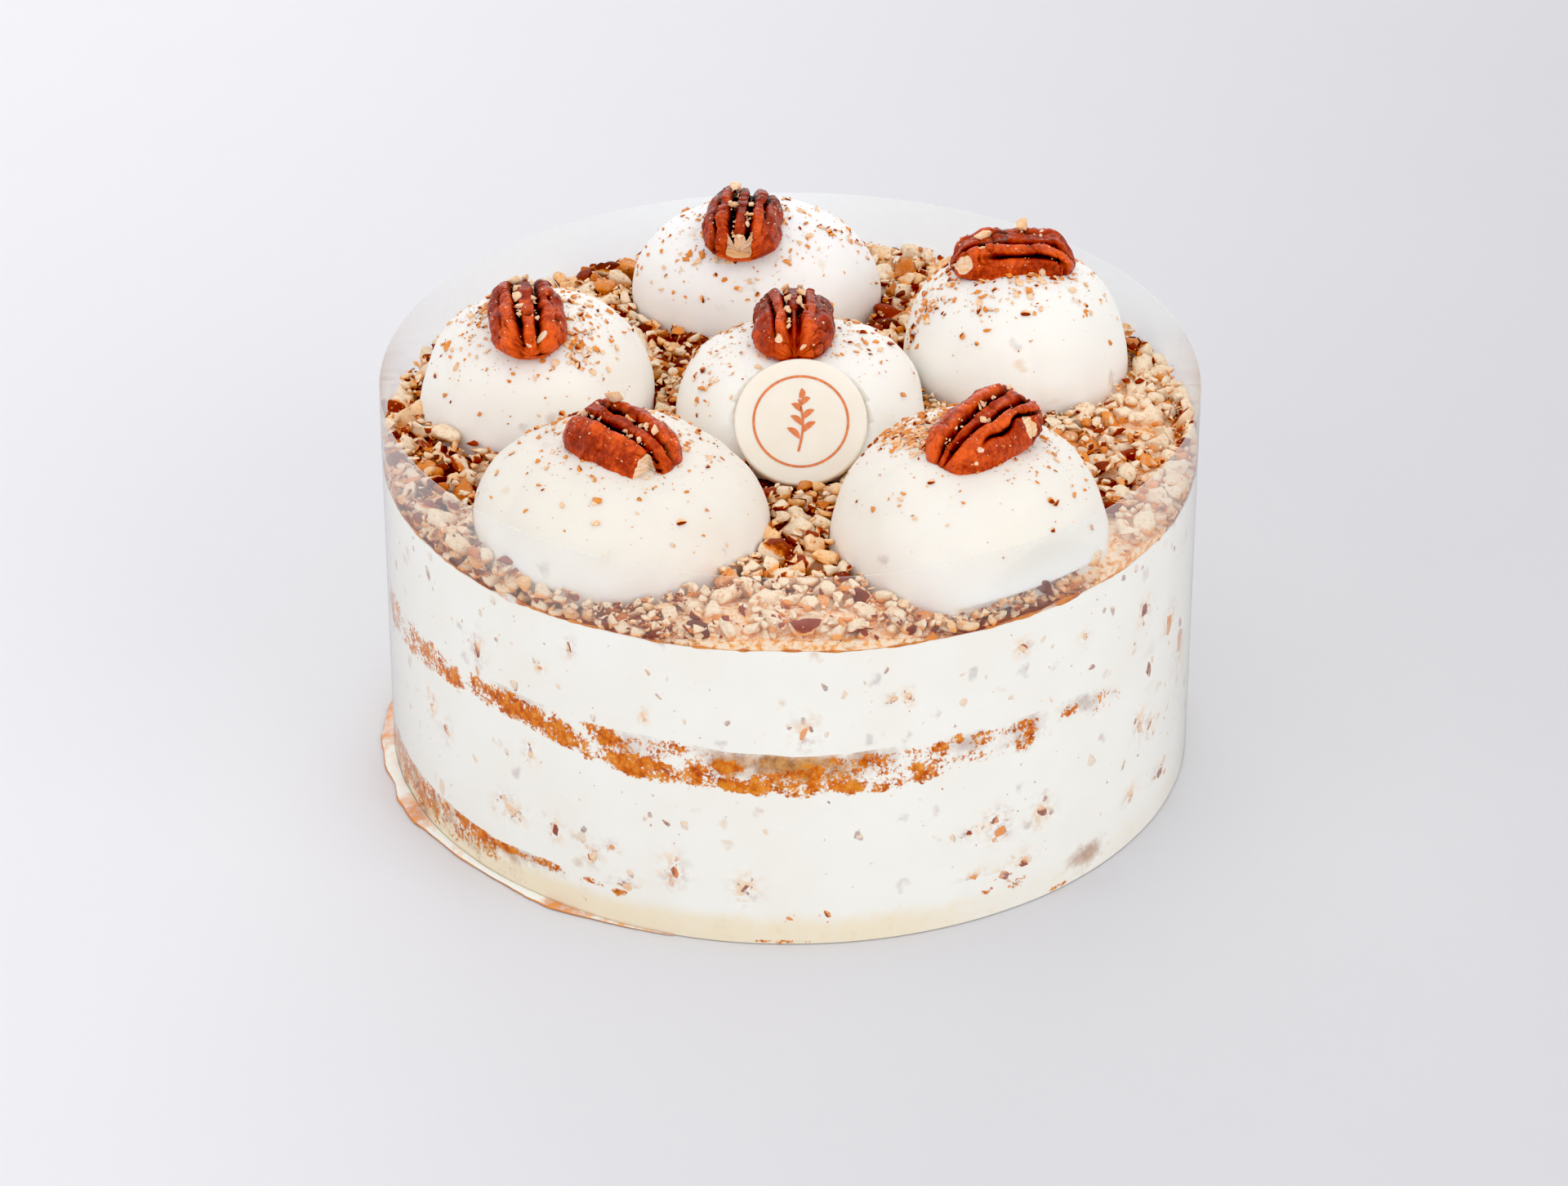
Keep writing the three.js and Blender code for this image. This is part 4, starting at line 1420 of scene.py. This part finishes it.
# Larger crumb on the kernels: place along, degrees round, size, lift
PECAN_CRUMBS = {
    "front_left": ((-0.45, 26, 4.4, 0.4), (0.05, 15, 2.6, 1.6), (0.55, 14, 2.6, 1.4)),
    "front_right": ((-0.2, -12, 1.8, 1.4), (0.1, 12, 1.9, 1.4)),
    "left": ((0.66, 15, 3.2, 1.4), (0.36, 14, 2.8, 1.6), (0.05, 13, 2.4, 1.6), (0.78, -4, 2, 0.5)),
    "back": ((0.62, 14, 3, 1.2), (-0.12, 13, 2.2, 1.6), (-0.05, -13, 1.4, 1.6)),
    "right": ((-0.48, 12, 4, 0.8), (0.15, 24, 3.2, 0.5), (-0.1, 16, 2.6, 1.2), (0.35, 14, 2.4, 1.2)),
    "centre": ((0.45, 9, 2.2, 1.5), (0.3, -9, 2.2, 1.5), (0.15, 10, 2, 1.5), (-0.45, -13, 2, 1.6)),
}
DOME_CRUMB_SEED = 17
PECAN_CRUMB_SEED = 23


def make_dome_crumbs():
    random = np.random.default_rng(DOME_CRUMB_SEED)
    places, normals, spans = [], [], []
    for place in PLACES:
        low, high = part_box("pecan_" + place)
        dome = DOMES[place]
        kernel_x = ((low.x + high.x) / 2 - dome.x) / dome.a
        kernel_y = ((low.y + high.y) / 2 - dome.y) / dome.b
        groups = [(kernel_x, kernel_y + KERNEL_CRUMB_BACK, *KERNEL_CRUMB), (0.0, 0.0, *LOOSE_CRUMB)]
        groups += [(*cluster, *CLUSTER_CRUMB) for cluster in CRUMB_CLUSTERS[place]]
        for x, y, spread, count, largest, rarity in groups:
            plan = random.normal(size=(count, 2)) * spread + np.array([x, y])
            points, outward = dome_spots(place, plan)
            ahead, aside = from_disc(points)
            kept = (aside > DISC_RADIUS + 1 * MM) | (ahead < -2 * DISC_THICKNESS)
            places.append(points[kept])
            normals.append(outward[kept])
            spans.append((CRUMB_LEAST + largest * random.random(kept.sum()) ** rarity) * MM)
    normals = np.vstack(normals)
    spans = np.concatenate(spans)
    count = len(spans)
    sizes = columns(spans, spans * random.uniform(0.4, 0.9, count), spans * 0.45)
    turns = turns_about_normals(normals, random.uniform(0, 2 * np.pi, count))
    looks = random_looks(random, count, skin_share=0.32, skin_strength=1.3, amber_share=0.5)
    looks["tone"] = 0.4 + 0.6 * looks["tone"]
    places = np.vstack(places) + normals * sizes[:, 2:3] * 0.2
    coarse = spans > FLAKE_SPAN
    for name, kind, splits in (("dome_crumbs", ~coarse, 0), ("dome_flakes", coarse, 1)):
        shapes = chunk_shapes(14, corners=9, blockiness=0.8, splits=splits, rough=0.1 * splits, seed=91)
        kind_looks = {key: numbers[kind] for key, numbers in looks.items()}
        scatter(name, shapes, places[kind], turns[kind], sizes[kind], kind_looks)


def make_pecan_crumbs(moves):
    """Pale crumb that lies in the grooves and clings to the skin of the kernels."""
    random = np.random.default_rng(PECAN_CRUMB_SEED)
    groups = 7
    each = 4
    dust = 80
    places, spans = [], []

    def lay(place, along, lean, lift):
        points, _ = pecan_surface(place, along, lean)
        points[:, 2] += lift * MM
        places.append(points @ pecan_turn(place).T + moves[place])

    for place in PLACES:
        count = groups * each
        middles = np.repeat(random.uniform(-0.85, 0.85, groups), each)
        along = np.clip(middles + 0.07 * random.normal(size=count), -0.88, 0.88)
        side = np.repeat(np.where(random.random(groups) < 0.5, 1, -1), each)
        width, _ = pecan_outline(place, along)
        across = np.minimum(groove_place(place, along) / width, 0.9)
        lean = np.degrees(np.arcsin(across ** (1 / PECAN_SQUARENESS))) + random.normal(size=count) * 2.5
        lay(place, along, side * lean, 1.1)
        spans.append(0.4 + 1.5 * random.random(count) ** 2)
        lay(place, random.uniform(-0.9, 0.9, dust), random.uniform(-70, 70, dust), 0.0)
        spans.append(0.2 + 0.4 * random.random(dust) ** 2)
        along, lean, size, lift = np.array(PECAN_CRUMBS[place]).T
        lay(place, along, lean, lift)
        spans.append(size)
    places = np.vstack(places)
    spans = np.concatenate(spans) * MM
    count = len(places)
    sizes = columns(spans, spans * random.uniform(0.6, 0.9, count), spans * 0.7)
    turns = near_level_turns(random, random.uniform(0, np.pi, count), lean=0.6)
    looks = random_looks(random, count, skin_share=0.1, skin_strength=1.5, amber_share=0.0)
    looks["tone"] = 0.75 + 0.25 * looks["tone"]
    places[:, 2] += 0.25 * spans
    shapes = chunk_shapes(10, corners=10, blockiness=0.7, splits=1, rough=0.05, seed=92)
    scatter("pecan_crumbs", shapes, places, turns, sizes, looks)


# Flecks at the side

# Larger flecks: degrees from the front, height, width, tallness, skin, amber
SIDE_FLECKS = (
    (-48, 61, 3, 6, 1, 0), (-31, 73, 1.6, 3.6, 2, 0), (-20, 59, 1.2, 2.6, 2, 0), (-38, 40, 2.2, 3.2, 2, 0),
    (-42, 21, 5, 4, 2, 0), (-34, 21, 2, 3.6, 2, 0), (-28, 17, 3, 4.2, 1, 0), (-25, 21, 2, 2, 0, 1),
    (-16, 18, 3.2, 4.8, 1, 1), (-6, 15, 3.2, 4.6, 2, 0), (-23, 11, 4, 2.8, 2, 0), (2, 58, 2.6, 4.6, 2, 1),
    (14, 66, 2, 2.2, 2, 0), (25, 25, 2.4, 1.8, 2, 0), (29, 27, 3.2, 3.4, 2, 1), (30, 23, 3.6, 3, 0, 1),
    (37, 24, 3.4, 4, 2, 0), (33, 72, 2.6, 2.6, 2, 0), (56, 14, 3, 3, 2, 0), (58, 32, 3, 5, 2, 0),
    (26, 12, 3, 2.6, 0, 1), (31, 10, 4, 2.6, 1, 1), (34, 12, 3, 3.4, 2, 0), (58, 64, 3, 4, 2, 0),
    (60, 46, 3, 5, 2, 0), (61, 29, 2.6, 4.6, 2, 0), (44, 68, 1.8, 2, 2, 0), (73, 42, 5, 8, 2, 1),
    (67, 52, 4, 6, 1, 1), (65, 11, 5, 3, 2, 1), (-60, 36, 2.4, 5, 1, 0), (-56, 32, 2, 4, 2, 0),
    (5, 8, 2.4, 2.2, 1, 1), (0, 7, 2, 1.8, 1, 1), (16, 66, 1.8, 2.6, 2, 0), (-36, 65, 1.4, 1.8, 2, 1),
)
LOWER_CREAM_MM = (13, 40)
UPPER_CREAM_MM = (54, 79)
FLECK_COUNT = 620
FLECK_DEPTH_MM = 0.45
FLECK_SINK = 0.1 * MM
FLECK_EDGE = FILM_INNER_RADIUS - 0.04 * MM
FLECK_SEED = 31


def press_in(name, random, degrees, heights, wide, tall, looks):
    """Presses flat flecks of the given sizes in millimetres into the side, flush under the collar."""
    places = round_the_side(degrees, CAKE_RADIUS - FLECK_SINK, heights * MM)
    sizes = columns(wide, tall, np.full(len(wide), FLECK_DEPTH_MM)) * MM
    turns = turns_about_normals(round_the_side(degrees, 1.0, 0.0), random.normal(size=len(wide)) * 0.35)
    shapes = chunk_shapes(16, corners=14, blockiness=0.8, splits=1, rough=0.16, seed=93)
    scatter(name, shapes, places, turns, sizes, looks, FLECK_EDGE, SIDE_NUT)


def make_side_flecks(random):
    """Small flecks all round in the face of the cream, most of them veiled by it."""
    count = FLECK_COUNT
    heights = np.concatenate([random.uniform(*span, count // 2) for span in (LOWER_CREAM_MM, UPPER_CREAM_MM)])
    wide = 0.35 + 2.4 * random.random(count) ** 4
    tall = wide * random.uniform(0.7, 1.9, count)
    looks = random_looks(random, count, skin_share=0.75, skin_strength=2.0, amber_share=0.08)
    looks["tone"] = 0.5 + 0.5 * looks["tone"]
    looks["veil"] = random.uniform(0.6, 0.95, count)
    press_in("side_flecks", random, random.uniform(-180, 180, count), heights, wide, tall, looks)


def make_side_pieces(random):
    """The larger flecks, each a main piece with smaller ones round it."""
    together = 5
    degrees, heights, wide, tall, skin, amber = np.repeat(np.array(SIDE_FLECKS), together, axis=0).T
    count = len(degrees)
    first = np.arange(count) % together == 0
    apart = np.where(first, 0.0, 0.42)
    degrees = degrees + np.degrees(apart * MM * wide / CAKE_RADIUS) * random.normal(size=count)
    heights = heights + apart * tall * random.normal(size=count)
    tone = random.uniform(0.6, 1, count)
    looks = {"tone": tone, "skin": skin * random.uniform(0.4, 0.8, count), "amber": 0.6 * amber}
    looks["veil"] = np.where(first, random.uniform(0.05, 0.35, count), random.uniform(0.4, 0.8, count))
    shrink = np.where(first, 0.9, random.uniform(0.15, 0.5, count))
    press_in("side_pieces", random, degrees, heights, wide * shrink, tall * shrink, looks)


# Disc and collar

def make_disc():
    sides = 128
    corner_steps = 9
    radius, rounding, depth = DISC_RADIUS, DISC_ROUNDING, DISC_THICKNESS
    profile = [(0.6 * radius, -depth)]
    for middle, first, last in ((rounding - depth, -90, 0), (-rounding, 0, 90)):
        for corner in np.radians(np.linspace(first, last, corner_steps)):
            profile.append((radius - rounding * (1 - math.cos(corner)), middle + rounding * math.sin(corner)))
    profile += [(share * radius, 0.0) for share in (0.9, 0.6, 0.3)]
    centre, up, normal = disc_frame()
    turn = full_turn(sides)
    spokes = np.outer(np.cos(turn), [1.0, 0.0, 0.0]) + np.outer(np.sin(turn), up)
    points = np.vstack([centre + reach * spokes + lift * normal for reach, lift in profile])
    shape = capped(points, sides, centre - depth * normal, centre)
    add_piece("chocolate_disc_look", shape, CHOCOLATE, ("chocolate_disc",))


def print_line(path, widths, closed=False):
    """A thin raised line of print along a path on the disc's face."""
    if closed:
        ahead = unit(np.roll(path, -1, axis=0) - np.roll(path, 1, axis=0))
    else:
        ahead = unit(np.gradient(path, axis=0))
    aside = columns(-ahead[:, 1], ahead[:, 0]) * np.broadcast_to(widths, len(path))[:, None] / 2
    centre, up, normal = disc_frame()
    corners = []
    for sign, lift in ((1, -1), (-1, -1), (-1, 1), (1, 1)):
        flat = path + sign * aside
        place = centre + np.outer(flat[:, 0], [1.0, 0.0, 0.0]) + np.outer(flat[:, 1], up)
        corners.append(place + lift * PRINT_THICKNESS * normal)
    sections = columns(*corners)
    if closed:
        return sections.reshape(-1, 3), grid_faces(len(path), len(corners), True).tolist()
    return swept(sections)


def make_print_motif():
    """A ring round a sprig of leaves."""
    turn = full_turn(96)
    strokes = [print_line(PRINT_RING_RADIUS * columns(np.cos(turn), np.sin(turn)), PRINT_LINE, True)]
    share = np.linspace(0, 1, 24)
    stem = columns(1.1 * np.sin(3.0 * share) - 0.6, -7.6 + 13.2 * share) * MM
    strokes.append(print_line(stem, PRINT_LINE))
    steps = 16
    side_leaves = 6
    widths = PRINT_LEAF * np.sin(np.pi * np.linspace(0.02, 0.98, steps)) ** 0.8
    for number in range(side_leaves + 1):
        at_side = number < side_leaves
        root = stem[5 + 3 * number] if at_side else stem[-1]
        sign = 1 if number % 2 else -1
        lean = math.radians(90 - sign * 48 if at_side else 78)
        reach = np.linspace(0.12, 1, steps) * (4.6 - 0.3 * number) * MM
        curl = sign * 0.5 * MM * np.sin(np.pi * np.linspace(0, 1, steps))
        path = root + columns(
            reach * math.cos(lean) - curl * math.sin(lean), reach * math.sin(lean) + curl * math.cos(lean),
        )
        strokes.append(print_line(path, widths))
    vertices, faces = [], []
    start = 0
    for points, quads in strokes:
        vertices.append(points)
        faces += [[start + corner for corner in quad] for quad in quads]
        start += len(points)
    add_piece("disc_print", (np.vstack(vertices), faces), PRINT, (), None, 40)


def make_collar():
    """The film, clear where it lies on the cream, hazier where it stands free, with haze as painted
    reflection at the front and back.
    """
    sides = 360
    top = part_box("collar")[1].z
    cream_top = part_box("cream_upper")[1].z
    levels = (0.0, cream_top, cream_top + 3 * MM, top - 0.3 * MM, top)
    profile = [(FILM_INNER_RADIUS + FILM_THICKNESS, height) for height in levels]
    profile += [(FILM_INNER_RADIUS, height) for height in levels[::-1]]
    degrees = np.linspace(-180, 180, sides, endpoint=False)
    vertices = np.vstack([round_the_side(degrees, radius, height) for radius, height in profile])
    # Painted reflection: extra haze either side of the front and at the back, where the film shows
    # reflections
    front_reflection = step_up(np.abs(degrees - 2), 21, 36) * (1 - step_up(np.abs(degrees), 66, 88))
    behind = step_up(np.abs(degrees + 10), 90, 125)
    standing = HAZE_STANDING + HAZE_FRONT_REFLECTION * front_reflection + HAZE_BACK_REFLECTION * behind
    hazes = (0 * degrees, 0 * degrees, standing, standing, HAZE_EDGE + standing)
    haze = HAZE_LEAST + np.concatenate(hazes + hazes[::-1])
    shape = vertices, grid_faces(len(profile), sides, True).tolist()
    add_piece("collar_look", shape, FILM, ("collar",), {"haze": haze}, 40)


# Syrup and cream that have run

SYRUP_STEPS = 520
OOZE_SEED = 211
SYRUP_SEED = 221
SYRUP_DEG = (-84, 62)
# What has crept out at the foot: degrees, reach, height, and 1 for syrup or 0 for cream
OOZE = (
    (-104, 0.2, 0.3, 0.5), (-96, 1.6, 0.9, 0.4), (-87, 3, 1, 0.5), (-81, 3, 1, 0.25), (-76, 3.2, 1, 0),
    (-71, 3.2, 1, 0.05), (-66, 3.2, 0.8, 0.5), (-61, 2.8, 0.7, 0.35), (-58, 2.4, 0.7, 0.15),
    (-55, 2, 0.7, 0.3), (-50, 1.7, 0.7, 0.05), (-42, 1.5, 0.7, 0), (-38.5, 2.5, 0.9, 0),
    (-35, 2, 0.6, 0.4), (-29, 1.2, 0.5, 0.5), (-16, 0.2, 0.2, 0.6),
)
# Places where the line of syrup is thicker: degrees, reach, rise
SYRUP_SWELLS = ((-41, 1.8, 1.0), (39, 3.0, 0.4))


def make_foot_ooze():
    """Cream and syrup that has crept out under the collar, at the left."""
    thinnest = 0.15
    turns, reach, height, amber = np.array(OOZE).T
    degrees = np.linspace(turns[0], turns[-1], SYRUP_STEPS)
    uneven = ring_noise(degrees, long=9, short=3.5, share=0.5, seed=OOZE_SEED)
    reach = np.maximum(np.interp(degrees, turns, reach) * (1 + 0.25 * uneven), thinnest) * MM
    height = np.maximum(np.interp(degrees, turns, height) * (1 + 0.2 * uneven), thinnest) * MM
    inner = FILM_INNER_RADIUS + 0.5 * FILM_THICKNESS
    corners = [round_the_side(degrees, inner, 0.0)]
    shares = np.linspace(0, 1, 12)
    for share in shares:
        angle = share * np.pi / 2
        radius = inner + reach * math.sin(angle) ** 0.8
        corners.append(round_the_side(degrees, radius, height * math.cos(angle) ** 1.2 + 0.02 * MM))
    share = np.tile(np.append(0, shares), len(degrees))
    amber, uneven = (np.repeat(line, len(corners)) for line in (np.interp(degrees, turns, amber), uneven))
    amber = np.clip(np.maximum(amber, step_up(share, 0.55, 0.9)) + 0.2 * uneven, 0, 1)
    add_piece("foot_ooze", swept(columns(*corners)), SYRUP, (), {"amber": amber}, 60)


def make_syrup_line():
    """Syrup that has run down to where the nuts meet the cream."""
    degrees = np.linspace(*SYRUP_DEG, SYRUP_STEPS)
    uneven = ring_noise(degrees, long=5, short=1.8, share=0.6, seed=SYRUP_SEED)
    top = layer_edges(degrees)[-1]
    half = np.maximum(0.10 + 0.35 * uneven, 0.03) * MM + swell(degrees, SYRUP_SWELLS)
    low = top - 0.9 * half
    high = top + 1.1 * half
    inner, outer = HEAP_EDGE - 0.2 * MM, CAKE_RADIUS + 0.1 * MM
    section = ((inner, low), (outer, low), (outer, high), (inner, high))
    corners = [round_the_side(degrees, radius, height) for radius, height in section]
    amber = np.repeat(np.clip(0.75 + 0.4 * uneven, 0.4, 1), len(corners))
    add_piece("syrup_line", swept(columns(*corners)), SYRUP, (), {"amber": amber}, 50)


# Stage

FLOOR_HALF = 4.0
FLOOR_DROP = 0.3 * MM
SKY_STRENGTH = 0.82
BLACK_LEVEL = (0.018, 0.018, 0.018)
LIGHT_TARGET = (0, 0, 0.08)
# Square lights: name, place, size, power
LIGHTS = (
    ("softbox_left", (-1.35, -1.2, 1.0), 1.4, 4.5),
    ("softbox_right", (1.35, -1.2, 1.0), 1.4, 8.5),
    ("softbox_front", (0.0, -1.6, 1.5), 1.4, 2.5),
    ("softbox_above", (-0.3, 0.1, 1.5), 1.0, 1.8),
    ("softbox_back", (0.0, 1.5, 0.65), 1.2, 6.0),
)


def make_stage():
    build = bmesh.new()
    bmesh.ops.create_grid(build, x_segments=8, y_segments=8, size=FLOOR_HALF)
    mesh = bpy.data.meshes.new("floor")
    build.to_mesh(mesh)
    build.free()
    floor = bpy.data.objects.new("floor", mesh)
    floor.location.z = -FLOOR_DROP
    bpy.context.scene.collection.objects.link(floor)
    mesh.materials.append(make_floor())


def make_lights():
    world = bpy.data.worlds.new("studio")
    bpy.context.scene.world = world
    world.use_nodes = True
    sky = world.node_tree.nodes["Background"]
    sky.inputs["Color"].default_value = SKY_COLOUR
    sky.inputs["Strength"].default_value = SKY_STRENGTH
    for name, place, size, power in LIGHTS:
        data = bpy.data.lights.new(name, "AREA")
        data.shape = "SQUARE"
        data.size = size
        data.energy = power
        lamp = bpy.data.objects.new(name, data)
        lamp.location = place
        lamp.rotation_euler = (Vector(LIGHT_TARGET) - Vector(place)).to_track_quat("-Z", "Y").to_euler()
        bpy.context.scene.collection.objects.link(lamp)


def make_camera():
    scene = bpy.context.scene
    data = bpy.data.cameras.new("camera")
    data.lens = CAMERA_LENS_MM
    data.sensor_width = CAMERA_SENSOR_MM
    data.clip_end = CAMERA_CLIP_END
    camera = bpy.data.objects.new("camera", data)
    camera.location = CAMERA_PLACE
    camera.rotation_euler = Euler([math.radians(angle) for angle in CAMERA_TURN_DEG])
    scene.collection.objects.link(camera)
    scene.camera = camera
    scene.view_settings.view_transform = "Standard"
    scene.view_settings.look = "None"
    scene.view_settings.use_curve_mapping = True
    scene.view_settings.curve_mapping.black_level = BLACK_LEVEL
    scene.view_settings.curve_mapping.update()


make_layers()
make_domes()
pecan_moves = make_pecans()
make_heap()
make_dome_crumbs()
make_pecan_crumbs(pecan_moves)
fleck_random = np.random.default_rng(FLECK_SEED)
make_side_flecks(fleck_random)
make_side_pieces(fleck_random)
make_disc()
make_print_motif()
make_collar()
make_foot_ooze()
make_syrup_line()
make_stage()
make_lights()
make_camera()
